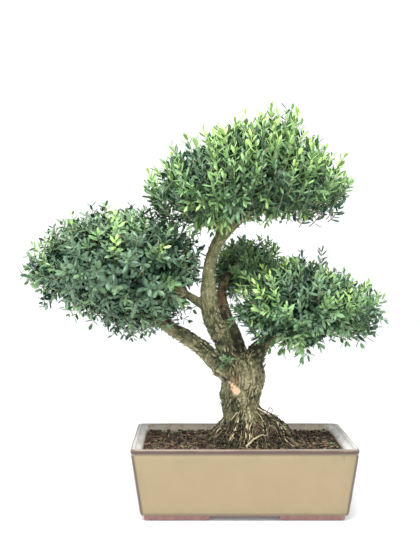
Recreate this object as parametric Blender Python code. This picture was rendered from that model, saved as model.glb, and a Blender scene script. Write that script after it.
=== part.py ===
"""Boxwood bonsai in a rectangular glazed pot. Metres, +Z up, front of the pot towards -Y.

Places below are in centimetres from the middle of the pot's underside, and at() turns them into metres.
centre_on_origin() then moves the whole object until its box stands centred on the world's origin.
"""

import math
import random

import bmesh
import bpy
from mathutils import Matrix, Vector, noise

CM = 0.01
SOLVER = "MANIFOLD"  # for the joins of many pieces, which EXACT loses
CLEARANCE = 0.0003  # between pieces that touch

# Pot: outer sizes over the lip at the rim, and how far each wall leans in on its way down
POT_LENGTH, POT_DEPTH, POT_HEIGHT = 0.222, 0.160, 0.071
WALL_LEAN = 0.009
WALL = 0.0085
FLOOR = 0.008
CORNER_RADIUS = 0.006
LIP_HEIGHT, LIP_PROUD = 0.005, 0.0018
RIM_SLOPE = 0.0035
FOOT_HEIGHT, FOOT_INSET, FOOT_LENGTH, FOOT_WIDTH = 0.004, 0.0025, 0.064, 0.040
DRAIN_RADIUS, DRAIN_X = 0.008, 0.048

# Mesh screens over the drainage holes
SCREEN_SIDE, SCREEN_THICKNESS, SCREEN_HOLES, SCREEN_HOLE = 0.032, 0.0012, 2, 0.0090

# Soil: its level along the wall, and the mound at the trunk
SOIL_BELOW_RIM = 0.0075
MOUND_CENTRE, MOUND_RISE, MOUND_SPREAD = (1.1, -0.1), 0.0280, (0.043, 0.040)
MOUND_STEEP = 1.1
SOIL_CELLS = (18, 12)
SOIL_ROUGHNESS = 0.0009

# Wood: each limb is a list of (x, y, z, radius) in centimetres along its middle
TRUNK = [
    (0.30, 0.1, 5.77, 1.9), (0.28, 0.1, 6.97, 2.45), (0.20, 0.1, 7.97, 2.60), (0.12, 0.1, 8.72, 2.15),
    (-0.10, 0.1, 9.72, 1.80), (-0.10, 0.1, 10.77, 1.88), (0.08, 0.1, 11.82, 2.06), (0.24, 0.1, 12.97, 2.08),
    (0.22, 0.1, 13.97, 1.86), (0.10, 0.2, 14.77, 1.50), (0.0, 0.3, 15.37, 0.85),
]
LEADER = [
    (-0.55, -0.1, 12.97, 1.0), (-1.05, -0.2, 14.27, 1.0), (-1.55, -0.3, 15.47, 0.92), (-1.80, -0.3, 16.57, 0.88),
    (-2.31, -0.4, 17.82, 0.98), (-3.08, -0.5, 19.37, 0.92), (-3.35, -0.5, 21.02, 0.90), (-3.42, -0.4, 22.57, 0.76),
    (-3.40, -0.2, 24.07, 0.61), (-3.03, 0.0, 25.67, 0.59), (-2.26, 0.2, 27.37, 0.62), (-1.30, 0.3, 28.47, 0.58),
    (-0.2, 0.4, 29.47, 0.52), (1.4, 0.5, 30.57, 0.44), (3.5, 0.5, 31.47, 0.34),
]
SECOND_STEM = [
    (0.15, 0.5, 13.27, 1.05), (0.02, 0.8, 14.87, 0.88), (-0.29, 1.1, 16.47, 0.62), (-0.68, 1.4, 17.67, 0.58),
    (-1.45, 1.7, 19.27, 0.60), (-1.89, 2.0, 20.87, 0.52), (-1.95, 2.5, 22.07, 0.50), (-1.55, 3.3, 23.17, 0.44),
    (-0.55, 4.5, 24.17, 0.38), (0.6, 5.8, 24.87, 0.32),
]
LEFT_BRANCH = [
    (-0.3, 0.0, 11.97, 0.95), (-1.25, -0.2, 13.27, 0.95), (-2.15, -0.4, 14.24, 0.94), (-2.90, -0.6, 15.02, 0.88),
    (-3.72, -0.7, 15.87, 0.83), (-4.67, -0.8, 16.67, 0.77), (-5.85, -0.9, 17.47, 0.78), (-7.0, -1.0, 18.07, 0.68),
    (-8.4, -1.0, 18.99, 0.54), (-10.2, -1.0, 20.17, 0.40), (-12.2, -1.0, 21.37, 0.30),
]
PALE_BRANCH = [
    (-3.05, -0.5, 20.27, 0.45), (-3.95, -0.5, 20.82, 0.42), (-5.0, -0.35, 21.22, 0.38), (-5.95, -0.2, 21.67, 0.33),
    (-6.9, 0.0, 22.37, 0.28), (-8.3, 0.2, 23.27, 0.22),
]
RIGHT_BRANCH = [
    (0.55, 0.0, 12.97, 1.35), (0.95, 0.0, 14.27, 1.20), (1.45, 0.0, 15.47, 1.00), (2.15, -0.1, 16.42, 0.78),
    (3.0, -0.2, 16.97, 0.58), (3.9, -0.4, 17.32, 0.46), (5.15, -0.6, 17.97, 0.38), (6.7, -0.8, 18.97, 0.30),
]
BRANCH_STUBS = [
    [(-3.3, -0.6, 15.37, 0.30), (-3.55, -1.3, 16.12, 0.24)],
    [(-2.7, -0.6, 14.87, 0.30), (-2.45, -1.35, 15.57, 0.22)],
]
PRUNING_SCAR = [(-0.3, -1.0, 11.57, 0.62), (-0.66, -2.08, 11.87, 0.50)]
LIMBS = (LEADER, SECOND_STEM, LEFT_BRANCH, PALE_BRANCH, RIGHT_BRANCH)
CARRIED_BY = {"foliage_left": (2, 3), "foliage_top": (0,), "foliage_right": (4,), "foliage_back": (1,)}  # in LIMBS
TRUNK_SIDES, LIMB_SIDES, ROOT_SIDES = 16, 8, 6
TRUNK_FLUTES, TRUNK_ROUGHNESS, LIMB_ROUGHNESS = 0.13, 0.0030, 0.0010
FLUTE_COUNT, FLUTE_TWIST = 5, 27
FOOT_GAP = 0.0010  # round the trunk's foot in the soil

# Surface roots: (compass angle from +X in degrees, reach, radius at the trunk), reach and radius in centimetres
ROOTS = [
    (-6, 7.0, 0.29), (-28, 7.0, 0.28), (-50, 6.9, 0.30), (-71, 6.3, 0.28), (-93, 6.0, 0.31), (-115, 5.8, 0.27),
    (-140, 5.2, 0.29), (-170, 4.6, 0.29), (150, 4.6, 0.27), (95, 5.5, 0.28), (38, 6.2, 0.28),
]
ROOT_CENTRE, ROOT_START, ROOT_START_HEIGHT, ROOT_WANDER, ROOT_STEPS = (0.3, 0.1), 1.3, 9.3, 0.35, 4

# Foliage: each pad is a smaller core under shoots that reach out to the pad's outline, in centimetres.
# outline holds the distance from the pad's middle to its edge, seen from the front, at equal angles from +X
# towards +Z, and depth is half the pad's size along Y.
PADS = {
    "foliage_left": {
        "middle": (-13.3, -0.4, 24.37), "depth": 7.8, "shoots": 35,
        "outline": (9.4, 9.0, 7.5, 6.8, 6.5, 6.6, 6.9, 8.0, 9.0, 8.0, 6.7, 6.3, 6.8, 7.8, 9.1, 8.7),
    },
    "foliage_top": {
        "middle": (0.9, 0.6, 33.57), "depth": 8.2, "shoots": 38,
        "outline": (10.5, 9.0, 8.1, 8.2, 7.0, 7.1, 7.6, 9.1, 10.9, 9.0, 7.6, 6.1, 4.6, 4.8, 6.3, 8.8),
    },
    "foliage_right": {
        "middle": (7.4, -1.2, 20.87), "depth": 6.6, "shoots": 24,
        "outline": (7.2, 5.3, 4.7, 4.7, 4.9, 5.5, 6.4, 7.4, 8.6, 7.2, 5.8, 5.8, 5.6, 4.8, 5.4, 6.4),
    },
    "foliage_back": {
        "middle": (1.2, 7.0, 24.87), "depth": 4.0, "shoots": 14,
        "outline": (4.0, 3.9, 3.7, 3.5, 3.4, 3.4, 3.5, 3.6, 3.8, 4.1, 4.2, 4.0, 3.8, 4.0, 4.1, 4.1),
    },
}
SHOOT_REACH, LARGEST_REACH_SHARE = 2.8, 0.55  # how far shoots stand out of a core, and the most of a small pad
CORE_SWELL, CORE_SWELL_WIDTH = 0.8, 0.22  # the core rises under each shoot
CORE_CRUMPLE = 0.85  # how far the core's points are pushed in or out, like the tips of crowded twigs
SHOOT_PAIRS = (2, 2, 3)
LEAF_LENGTH, LEAF_WIDTH, LEAF_THICKNESS = 2.1, 0.88, 0.085
LEAF_WIDEST, LEAF_TIP, LEAF_ARCH = 0.56, 0.42, 0.10
LEAF_SPREAD = (70, 60, 52, 30)  # degrees from the stem, the top pair last
STEM_SIDE, STEM_SUNK, INTERNODE, LEAF_NODE = 0.22, 0.5, 0.55, 0.20
ROLLS = 7  # ways tried to turn a shoot so that its leaves keep off those of its neighbours
LIFT = 0.35  # how strongly shoots above the widest level turn upwards
KEEP_OFF = 0.3  # between a shoot and another piece

SPROUT = {"foot": (-1.62, -1.10, 14.62), "way": (-0.2, -0.95, 0.30), "size": 0.44}


def at(x, y, z):
    """A place given in centimetres from the middle of the pot's underside."""
    return Vector((x, y, z)) * CM


def clear_scene():
    for thing in list(bpy.data.objects):
        bpy.data.objects.remove(thing, do_unlink=True)


def material(name, colour, roughness):
    made = bpy.data.materials.new(name)
    made.use_nodes = True
    shader = made.node_tree.nodes["Principled BSDF"]
    shader.inputs["Base Color"].default_value = (*colour, 1.0)
    shader.inputs["Roughness"].default_value = roughness
    return made


def keep(mesh_object, finish, parts, root, smooth_angle=None):
    """Files a finished piece in the object's collection, under its own material."""
    for collection in list(mesh_object.users_collection):
        collection.objects.unlink(mesh_object)
    parts.objects.link(mesh_object)
    mesh_object.data.materials.clear()
    mesh_object.data.materials.append(finish)
    mesh_object.parent = root
    if smooth_angle is not None:
        mesh_object.data.shade_smooth()
        mesh_object.data.set_sharp_from_angle(angle=math.radians(smooth_angle))
    return mesh_object


def object_from(name, bm):
    """A scene object with the mesh that bm holds, its faces pointing out."""
    bmesh.ops.recalc_face_normals(bm, faces=bm.faces)
    mesh = bpy.data.meshes.new(name)
    bm.to_mesh(mesh)
    bm.free()
    made = bpy.data.objects.new(name, mesh)
    bpy.context.scene.collection.objects.link(made)
    return made


def drop_scraps(mesh):
    """Keeps only the largest of a mesh's separate bodies."""
    bm = bmesh.new()
    bm.from_mesh(mesh)
    waiting, bodies = set(bm.verts), []
    while waiting:
        body, edge = set(), {next(iter(waiting))}
        while edge:
            body |= edge
            edge = {e.other_vert(v) for v in edge for e in v.link_edges} - body
        bodies.append(body)
        waiting -= body
    keep_body = max(bodies, key=len)
    bmesh.ops.delete(bm, geom=[v for v in bm.verts if v not in keep_body], context="VERTS")
    bm.to_mesh(mesh)
    bm.free()


def combine(target, others, operation, solver="EXACT"):
    """Joins others to target, or cuts them from it, in one Boolean, and removes them and any loose scrap."""
    group = bpy.data.collections.new("operands")
    bpy.context.scene.collection.children.link(group)
    for other in others:
        for collection in list(other.users_collection):
            collection.objects.unlink(other)
        group.objects.link(other)
    step = target.modifiers.new(operation.lower(), "BOOLEAN")
    step.operation = operation
    step.operand_type = "COLLECTION"
    step.collection = group
    step.solver = solver
    graph = bpy.context.evaluated_depsgraph_get()
    result = bpy.data.meshes.new_from_object(target.evaluated_get(graph))
    target.modifiers.clear()
    old = target.data
    drop_scraps(result)
    target.data = result
    bpy.data.meshes.remove(old)
    for other in list(group.objects):
        bpy.data.objects.remove(other, do_unlink=True)
    bpy.data.collections.remove(group)
    return target


def tapered_block(name, length, depth, low, high, lean, radius, segments=3):
    """A block from low to high whose sides lean in by lean on the way down, with rounded upright edges."""
    bm = bmesh.new()
    bmesh.ops.create_cube(bm, size=1.0)
    for vertex in bm.verts:
        inset = 0.0 if vertex.co.z > 0 else lean
        vertex.co.x *= length - 2 * inset
        vertex.co.y *= depth - 2 * inset
        vertex.co.z = high if vertex.co.z > 0 else low
    upright = [e for e in bm.edges if abs(e.verts[0].co.z - e.verts[1].co.z) > (high - low) / 2]
    bmesh.ops.bevel(bm, geom=upright, offset=radius, offset_type="OFFSET", segments=segments,
                    affect="EDGES", profile=0.5)
    return object_from(name, bm)


def lean_at(height):
    """How far a wall has leaned in at a height over the base."""
    return WALL_LEAN * (POT_HEIGHT - height) / POT_HEIGHT


def make_pot(finish, parts, root):
    """Body, lip and four corner feet joined, then hollowed, with a sloping rim and two drainage holes."""
    length, depth = POT_LENGTH - 2 * LIP_PROUD, POT_DEPTH - 2 * LIP_PROUD
    body = tapered_block("pot", length, depth, FOOT_HEIGHT, POT_HEIGHT - 0.001, lean_at(FOOT_HEIGHT),
                         CORNER_RADIUS)
    lip = tapered_block("lip", POT_LENGTH, POT_DEPTH, POT_HEIGHT - LIP_HEIGHT, POT_HEIGHT,
                        lean_at(POT_HEIGHT - LIP_HEIGHT), CORNER_RADIUS)
    feet = []
    foot_lean = lean_at(0.0) + FOOT_INSET
    for side_x in (-1, 1):
        for side_y in (-1, 1):
            corner_x = side_x * (length / 2 - foot_lean)
            corner_y = side_y * (depth / 2 - foot_lean)
            for size_x, size_y in ((FOOT_LENGTH, FOOT_WIDTH * 0.35), (FOOT_WIDTH * 0.35, FOOT_WIDTH)):
                foot = tapered_block("foot", size_x, size_y, 0.0, FOOT_HEIGHT + 0.002, 0.0006, 0.0015, 2)
                foot.location = (corner_x - side_x * size_x / 2, corner_y - side_y * size_y / 2, 0.0)
                feet.append(foot)
    combine(body, [lip, *feet], "UNION")
    hollow = tapered_block("hollow", length - 2 * WALL, depth - 2 * WALL, FOOT_HEIGHT + FLOOR,
                           POT_HEIGHT + 0.001, lean_at(FOOT_HEIGHT + FLOOR), CORNER_RADIUS)
    slope = tapered_block("slope", length - 2 * WALL + 4 * RIM_SLOPE, depth - 2 * WALL + 4 * RIM_SLOPE,
                          POT_HEIGHT - 2 * RIM_SLOPE, POT_HEIGHT + 0.001, 2 * RIM_SLOPE, CORNER_RADIUS)
    drains = []
    for side in (-1, 1):
        bpy.ops.mesh.primitive_cylinder_add(vertices=20, radius=DRAIN_RADIUS, depth=0.04,
                                            location=(side * DRAIN_X, 0.0, FOOT_HEIGHT))
        drains.append(bpy.context.object)
    combine(body, [hollow, slope, *drains], "DIFFERENCE")
    return keep(body, finish, parts, root, 35)


def make_screens(finish, parts, root):
    """A square of plastic mesh on the pot's floor over each drainage hole."""
    low = FOOT_HEIGHT + FLOOR + CLEARANCE
    pitch = SCREEN_SIDE / (SCREEN_HOLES + 0.6)
    for name, side in (("drain_screen_left", -1), ("drain_screen_right", 1)):
        screen = tapered_block(name, SCREEN_SIDE, SCREEN_SIDE, 0.0, SCREEN_THICKNESS, 0.0, 0.001, 1)
        cutters = []
        for column in range(SCREEN_HOLES):
            for row in range(SCREEN_HOLES):
                middle = (SCREEN_HOLES - 1) / 2
                bpy.ops.mesh.primitive_cube_add(
                    size=SCREEN_HOLE, location=((column - middle) * pitch, (row - middle) * pitch, 0.0))
                cutters.append(bpy.context.object)
        combine(screen, cutters, "DIFFERENCE")
        screen.location = (side * DRAIN_X, 0.0, low)
        keep(screen, finish, parts, root)


def screen_pockets():
    """Cutters for the hollows that the two screens press into the underside of the soil."""
    low = FOOT_HEIGHT + FLOOR
    side = SCREEN_SIDE + 2 * CLEARANCE
    pockets = []
    for side_x in (-1, 1):
        pocket = tapered_block("pocket", side, side, low - 0.001, low + SCREEN_THICKNESS + 2 * CLEARANCE, 0.0,
                               0.001, 1)
        pocket.location.x = side_x * DRAIN_X
        pockets.append(pocket)
    return pockets


def soil_height(x, y):
    """The soil's surface in metres over the base: level, a mound under the trunk and a little roughness."""
    away = ((x - MOUND_CENTRE[0] * CM) / MOUND_SPREAD[0]) ** 2 + ((y - MOUND_CENTRE[1] * CM) / MOUND_SPREAD[1]) ** 2
    mound = MOUND_RISE * math.exp(-MOUND_STEEP * away * away)
    rough = SOIL_ROUGHNESS * noise.noise(Vector((x, y, 0.0)) * 90)
    return POT_HEIGHT - SOIL_BELOW_RIM + mound + rough


def rounded_in(x, y, half_x, half_y, radius):
    """A point of a rectangle, drawn in where it lies outside the rectangle's rounded corner."""
    over_x, over_y = abs(x) - (half_x - radius), abs(y) - (half_y - radius)
    reach = math.hypot(over_x, over_y)
    if over_x <= 0 or over_y <= 0 or reach <= radius:
        return x, y
    return (math.copysign(half_x - radius + over_x * radius / reach, x),
            math.copysign(half_y - radius + over_y * radius / reach, y))


def make_soil():
    """A grid laid over the soil's surface, with its rim drawn down to the pot's floor."""
    top = POT_HEIGHT - SOIL_BELOW_RIM
    floor = FOOT_HEIGHT + FLOOR + CLEARANCE
    inner = [size - 2 * (LIP_PROUD + WALL + CLEARANCE) for size in (POT_LENGTH, POT_DEPTH)]
    half = [side / 2 - lean_at(top) - 0.0003 for side in inner]
    low_half = [side / 2 - lean_at(floor) - 0.0003 for side in inner]
    bm = bmesh.new()
    bmesh.ops.create_grid(bm, x_segments=SOIL_CELLS[0], y_segments=SOIL_CELLS[1], size=1.0)
    rim = [edge for edge in bm.edges if edge.is_boundary]
    skirt = bmesh.ops.extrude_edge_only(bm, edges=rim)["geom"]
    bottom = {item for item in skirt if isinstance(item, bmesh.types.BMVert)}
    for vertex in bm.verts:
        sides = low_half if vertex in bottom else half
        x, y = rounded_in(vertex.co.x * sides[0], vertex.co.y * sides[1], *sides, CORNER_RADIUS)
        vertex.co = (x, y, floor if vertex in bottom else soil_height(x, y))
    bmesh.ops.contextual_create(bm, geom=[e for e in bm.edges if e.is_boundary])
    return object_from("soil", bm)


def nearest_on(points, spot):
    """The place along a limb's middle that is nearest to a spot, and how far the spot lies from the bark."""
    found = []
    for (ax, ay, az, ra), (bx, by, bz, rb) in zip(points, points[1:]):
        start, run = Vector((ax, ay, az)), Vector((bx - ax, by - ay, bz - az))
        share = min(max((spot - start).dot(run) / run.length_squared, 0.0), 1.0)
        middle = start + run * share
        found.append((middle, (spot - middle).length - (ra + (rb - ra) * share)))
    return min(found, key=lambda pair: (spot - pair[0]).length)


def limb(name, points, sides, fat=0.0, flutes=0.0, rough=0.0, seed=0):
    """A curve with a round bevel along the points, made a closed mesh; fat thickens it all round.
    flutes and rough press lengthwise furrows and bark lumps into it."""
    path = bpy.data.curves.new(name, "CURVE")
    path.dimensions = "3D"
    path.bevel_depth = 1.0
    path.bevel_resolution = (sides - 4) // 2
    path.use_fill_caps = True
    line = path.splines.new("POLY")
    line.points.add(len(points) - 1)
    for spot, (x, y, z, radius) in zip(line.points, points):
        spot.co = (*at(x, y, z), 1.0)
        spot.radius = radius * CM + fat
    curve = bpy.data.objects.new(name, path)
    bpy.context.scene.collection.objects.link(curve)
    graph = bpy.context.evaluated_depsgraph_get()
    mesh = bpy.data.meshes.new_from_object(curve.evaluated_get(graph))
    bpy.data.objects.remove(curve, do_unlink=True)
    bm = bmesh.new()
    bm.from_mesh(mesh)
    bpy.data.meshes.remove(mesh)
    bmesh.ops.remove_doubles(bm, verts=bm.verts, dist=1e-6)
    for vertex in bm.verts:
        middle = nearest_on(points, vertex.co / CM)[0] * CM
        out = vertex.co - middle
        turn = math.atan2(out.y, out.x) + FLUTE_TWIST * middle.z
        furrow = flutes * out.length * math.cos(FLUTE_COUNT * turn)
        lump = rough * noise.noise(vertex.co * 90 + Vector((seed, 0, 0)))
        vertex.co += out.normalized() * (furrow + lump)
    bmesh.ops.triangulate(bm, faces=bm.faces, quad_method="FIXED")
    return object_from(name, bm)


def smooth_path(points, steps):
    """Catmull-Rom points through the given ones, steps for each stretch."""
    padded = [points[0], *points, points[-1]]
    found = []
    for a, b, c, d in zip(padded, padded[1:], padded[2:], padded[3:]):
        for step in range(steps):
            t = step / steps
            found.append(tuple(
                0.5 * (2 * q + (r - p) * t + (2 * p - 5 * q + 4 * r - s) * t * t + (3 * q - p - 3 * r + s) * t ** 3)
                for p, q, r, s in zip(a, b, c, d)))
    return [*found, points[-1]]


def root_points(angle, reach, radius, rng):
    """A surface root: out of the trunk's foot, then down the mound half sunk in the soil, wandering a little."""
    wander = rng.uniform(-ROOT_WANDER, ROOT_WANDER)
    points = []
    for step in range(ROOT_STEPS + 1):
        share = step / ROOT_STEPS
        out = ROOT_START + (reach - ROOT_START) * share
        turn = math.radians(angle) + wander * math.sin(math.pi * 1.3 * share) * 0.5
        x, y = ROOT_CENTRE[0] + out * math.cos(turn), ROOT_CENTRE[1] + out * 0.88 * math.sin(turn)
        thick = radius * (1 - 0.60 * share)
        height = soil_height(x * CM, y * CM) / CM + thick * (0.45 - 1.3 * share * share)
        points.append((x, y, max(height, ROOT_START_HEIGHT) if step == 0 else height, thick))
    return points


def make_wood(soil, finish, soil_finish, parts, root):
    """The trunk with its branches and roots grown together, and the soil cut clear of it."""
    rng = random.Random(5)
    roots = [root_points(*row, rng) for row in ROOTS]
    trunk_line = smooth_path(TRUNK, 2)
    trunk = limb("trunk", trunk_line, TRUNK_SIDES, flutes=TRUNK_FLUTES, rough=TRUNK_ROUGHNESS)
    pieces = [limb("limb", points, LIMB_SIDES, rough=LIMB_ROUGHNESS, seed=i) for i, points in enumerate(LIMBS)]
    pieces += [limb("stub", points, ROOT_SIDES) for points in (*BRANCH_STUBS, PRUNING_SCAR)]
    pieces += [limb("root", points, ROOT_SIDES) for points in roots]
    combine(trunk, pieces, "UNION", SOLVER)
    keep(trunk, finish, parts, root, 50)
    sockets = [limb("socket", lengthened(points), ROOT_SIDES, fat=CLEARANCE * 1.4) for points in roots]
    foot = limb("socket", [row for row in trunk_line if row[2] < ROOT_START_HEIGHT + 1], TRUNK_SIDES,
                fat=FOOT_GAP, flutes=TRUNK_FLUTES, rough=TRUNK_ROUGHNESS)
    foot.location.z = -CLEARANCE
    combine(soil, [foot, *sockets, *screen_pockets()], "DIFFERENCE")
    keep(soil, soil_finish, parts, root)
    return trunk


def lengthened(points):
    """The points with the last one moved on a little, so that a root's tip has room too."""
    *most, before, last = points
    step = Vector(last[:3]) - Vector(before[:3])
    further = Vector(last[:3]) + step.normalized() * 0.06
    return [*most, before, (*further, last[3])]


def outline_at(pad, x, z):
    """The pad's radius in the direction x, z from its middle: a smooth line through the outline's distances."""
    rows = pad["outline"]
    count = len(rows)
    place = math.atan2(z, x) / (2 * math.pi) * count % count
    first, share = int(place), place % 1.0
    before, start, end, after = (rows[(first + i) % count] for i in (-1, 0, 1, 2))
    slope, next_slope = (end - before) / 2, (after - start) / 2
    return (start + slope * share + (3 * (end - start) - 2 * slope - next_slope) * share ** 2
            + (2 * (start - end) + slope + next_slope) * share ** 3)


def pad_point(pad, way, inset=0.0):
    """Where a direction from the pad's middle meets its outline, drawn in by inset centimetres."""
    radius = outline_at(pad, way.x, way.z) - inset
    spot = Vector((way.x * radius, way.y * (pad["depth"] - inset), way.z * radius))
    return Vector(pad["middle"]) + spot


def fill_at(pad, spot, margin=0.0):
    """0 at the pad's middle, 1 where a place lies on its outline, made larger by margin centimetres."""
    away = spot - Vector(pad["middle"])
    radius = outline_at(pad, away.x, away.z) + margin
    return (away.x ** 2 + away.z ** 2) / radius ** 2 + (away.y / (pad["depth"] + margin)) ** 2


def reach_of(pad):
    """How far the shoots of a pad stand out of its core."""
    return min(SHOOT_REACH, LARGEST_REACH_SHARE * min(*pad["outline"], pad["depth"]))


def make_core(name, pad, directions, rng):
    """The pad's smaller core: a ball of triangles, stretched and crumpled, that swells under each shoot."""
    bm = bmesh.new()
    bmesh.ops.create_icosphere(bm, subdivisions=3 if pad["depth"] > 5 else 2, radius=1.0)
    for vertex in bm.verts:
        way = vertex.co.normalized()
        nearest = min((way - direction).length for direction in directions)
        swell = CORE_SWELL * math.exp(-((nearest / CORE_SWELL_WIDTH) ** 2)) + rng.uniform(-0.5, 1) * CORE_CRUMPLE
        vertex.co = pad_point(pad, way, reach_of(pad) - swell * reach_of(pad) / SHOOT_REACH) * CM
    return object_from(name, bm)


def leaf(bm, side, way, out, spread, size):
    """Draws one side face of a stem out to a blade: widest past its middle, with a blunt, thin tip."""
    low_a, low_b, high_b, high_a = side
    wide = (low_b.co - low_a.co).normalized()
    run = way * math.cos(spread) + out * math.sin(spread)
    normal = out * -math.cos(spread) + way * math.sin(spread)
    start = (low_a.co + high_b.co) / 2
    length, width, thick = (value * CM * size for value in (LEAF_LENGTH, LEAF_WIDTH, LEAF_THICKNESS))
    middle = start + run * length * LEAF_WIDEST
    tip = start + run * length - normal * length * LEAF_ARCH
    ring = [bm.verts.new(middle + wide * width / 2 * a + normal * thick / 2 * b)
            for a, b in ((-1, -1), (1, -1), (1, 1), (-1, 1))]
    end_a, end_b = (bm.verts.new(tip + wide * width / 2 * LEAF_TIP * a) for a in (-1, 1))
    foot = (low_a, low_b, high_b, high_a)
    for i in range(4):
        bm.faces.new((foot[i], foot[(i + 1) % 4], ring[(i + 1) % 4], ring[i]))
    bm.faces.new((ring[0], ring[1], end_b, end_a))
    bm.faces.new((ring[2], ring[3], end_a, end_b))
    bm.faces.new((ring[1], ring[2], end_b))
    bm.faces.new((ring[3], ring[0], end_a))


def stem_axes(way, roll):
    """Two directions square to a stem and to each other."""
    across = Matrix.Rotation(roll, 3, way) @ way.orthogonal().normalized()
    return across, way.cross(across)


def leaf_middles(foot, way, roll, size, pairs):
    """Where the middles of a shoot's leaves come to lie."""
    across, other = stem_axes(way, roll)
    found = []
    for pair in range(pairs):
        height = STEM_SUNK + (pair + 1) * (INTERNODE + LEAF_NODE)
        spread = math.radians(LEAF_SPREAD[pair - pairs])
        out = across if pair % 2 else other
        for side in (out, -out):
            run = way * math.cos(spread) + side * math.sin(spread)
            found.append(foot + (way * height + run * LEAF_LENGTH * LEAF_WIDEST) * size)
    return found


def shoot(name, foot, way, roll, size, pairs):
    """A square stem with leaves in pairs, each pair turned by a quarter from the one below it."""
    bm = bmesh.new()
    way = way.normalized()
    across, other = stem_axes(way, roll)
    half = STEM_SIDE / 2 * size
    corners = [across + other, other - across, -across - other, across - other]
    outs = [other, -across, -other, across]

    def ring(height):
        return [bm.verts.new((foot + way * height * size + corner * half) * CM) for corner in corners]

    heights = [0.0]
    for pair in range(pairs):
        first = heights[-1] + INTERNODE + (STEM_SUNK if pair == 0 else 0.0)
        heights += [first, first + LEAF_NODE]
    rings = [ring(height) for height in heights]
    bm.faces.new(reversed(rings[0]))
    bm.faces.new(rings[-1])
    for level, (low, high) in enumerate(zip(rings, rings[1:])):
        pair, leafy = divmod(level, 2)
        for i in range(4):
            side = (low[i], low[(i + 1) % 4], high[(i + 1) % 4], high[i])
            if leafy and i % 2 == pair % 2:
                spread = math.radians(LEAF_SPREAD[pair - pairs])
                leaf(bm, side, way, outs[i], spread, size)
            else:
                bm.faces.new(side)
    return object_from(name, bm)


def even_directions(count, rng):
    """Directions spread evenly over a ball, each shifted a little."""
    golden = math.pi * (3 - math.sqrt(5))
    for i in range(count):
        z = 1 - (2 * i + 1) / count
        flat = math.sqrt(1 - z * z)
        way = Vector((flat * math.cos(golden * i), flat * math.sin(golden * i), z))
        yield (way + Vector([rng.uniform(-0.10, 0.10) for _ in range(3)])).normalized()


def outward(pad, spot):
    """The direction square to the pad's outline at a place, bent upwards above the widest level."""
    steps = [Vector(axis) * 0.2 for axis in ((1, 0, 0), (0, 1, 0), (0, 0, 1))]
    rise = Vector([fill_at(pad, spot + step) - fill_at(pad, spot - step) for step in steps]).normalized()
    lift = LIFT if spot.z > pad["middle"][2] - 0.5 else 0.0
    return (rise + Vector((0, 0, lift))).normalized()


def shoot_length(pairs):
    return pairs * (INTERNODE + LEAF_NODE) + LEAF_LENGTH * math.cos(math.radians(LEAF_SPREAD[-1]))


def is_clear(foot, tip, size, others):
    """True if a shoot from foot to tip stays off every limb and the other pads."""
    for share in (0.3, 0.5, 0.7, 0.85, 1.0):
        spot = foot.lerp(tip, share)
        room = KEEP_OFF + (LEAF_LENGTH * 0.85 if share < 0.9 else 0.4) * size
        if any(nearest_on(points, spot)[1] < room for points in (TRUNK, *LIMBS)):
            return False
        if any(fill_at(other, spot, KEEP_OFF) < 1 for other in others):
            return False
    return True


def make_foliage(name, finish, parts, root):
    """A pad's core with its shoots, less sockets for the limbs that carry it."""
    pad = PADS[name]
    rng = random.Random(name)
    size = reach_of(pad) / SHOOT_REACH
    others = [PADS[other] for other in PADS if other != name]
    directions = list(even_directions(pad["shoots"], rng))
    core = make_core(name, pad, directions, rng)
    shoots, leaves = [], [Vector(pad["middle"])]
    for way in directions:
        pairs = rng.choice(SHOOT_PAIRS)
        tip = pad_point(pad, way)
        aim = outward(pad, tip)
        foot = tip - aim * (shoot_length(pairs) + STEM_SUNK) * size
        if not is_clear(foot, tip, size, others):
            continue
        places = [leaf_middles(foot, aim, turn * math.pi / 2 / ROLLS, size, pairs) for turn in range(ROLLS)]
        room = [min((a - b).length for a in place for b in leaves) for place in places]
        turn = room.index(max(room))
        leaves += places[turn]
        shoots.append(shoot("shoot", foot, aim, turn * math.pi / 2 / ROLLS, size, pairs))
    combine(core, shoots, "UNION", SOLVER)
    sockets = [limb("socket", lengthened(LIMBS[i]), LIMB_SIDES, fat=CLEARANCE * 2, rough=LIMB_ROUGHNESS, seed=i)
               for i in CARRIED_BY[name]]
    combine(core, sockets, "DIFFERENCE")
    return keep(core, finish, parts, root)


def make_sprout(trunk, finish, parts, root):
    """A leafy sprout whose foot stands in a small hole in the bark."""
    foot, way = Vector(SPROUT["foot"]), Vector(SPROUT["way"]).normalized()
    sprout = shoot("trunk_sprout", foot, way, 0.6, SPROUT["size"], 4)
    hole_radius = STEM_SIDE * SPROUT["size"] / 2 * math.sqrt(2) * CM + CLEARANCE
    bpy.ops.mesh.primitive_cylinder_add(vertices=8, radius=hole_radius, depth=2 * CM)
    hole = bpy.context.object
    hole.rotation_mode = "QUATERNION"
    hole.rotation_quaternion = way.to_track_quat("Z", "Y")
    hole.location = foot * CM + way * (1 * CM - CLEARANCE)
    combine(trunk, [hole], "DIFFERENCE")
    return keep(sprout, finish, parts, root)


def centre_on_origin(root, parts):
    """Moves everything so that its box stands centred on the origin, to the nearest millimetre."""
    bpy.context.view_layer.update()
    corners = [piece.matrix_world @ Vector(corner) for piece in parts.objects if piece.type == "MESH"
               for corner in piece.bound_box]
    for axis in (0, 1):
        values = [corner[axis] for corner in corners]
        root.location[axis] -= round((min(values) + max(values)) / 2, 3)


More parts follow.
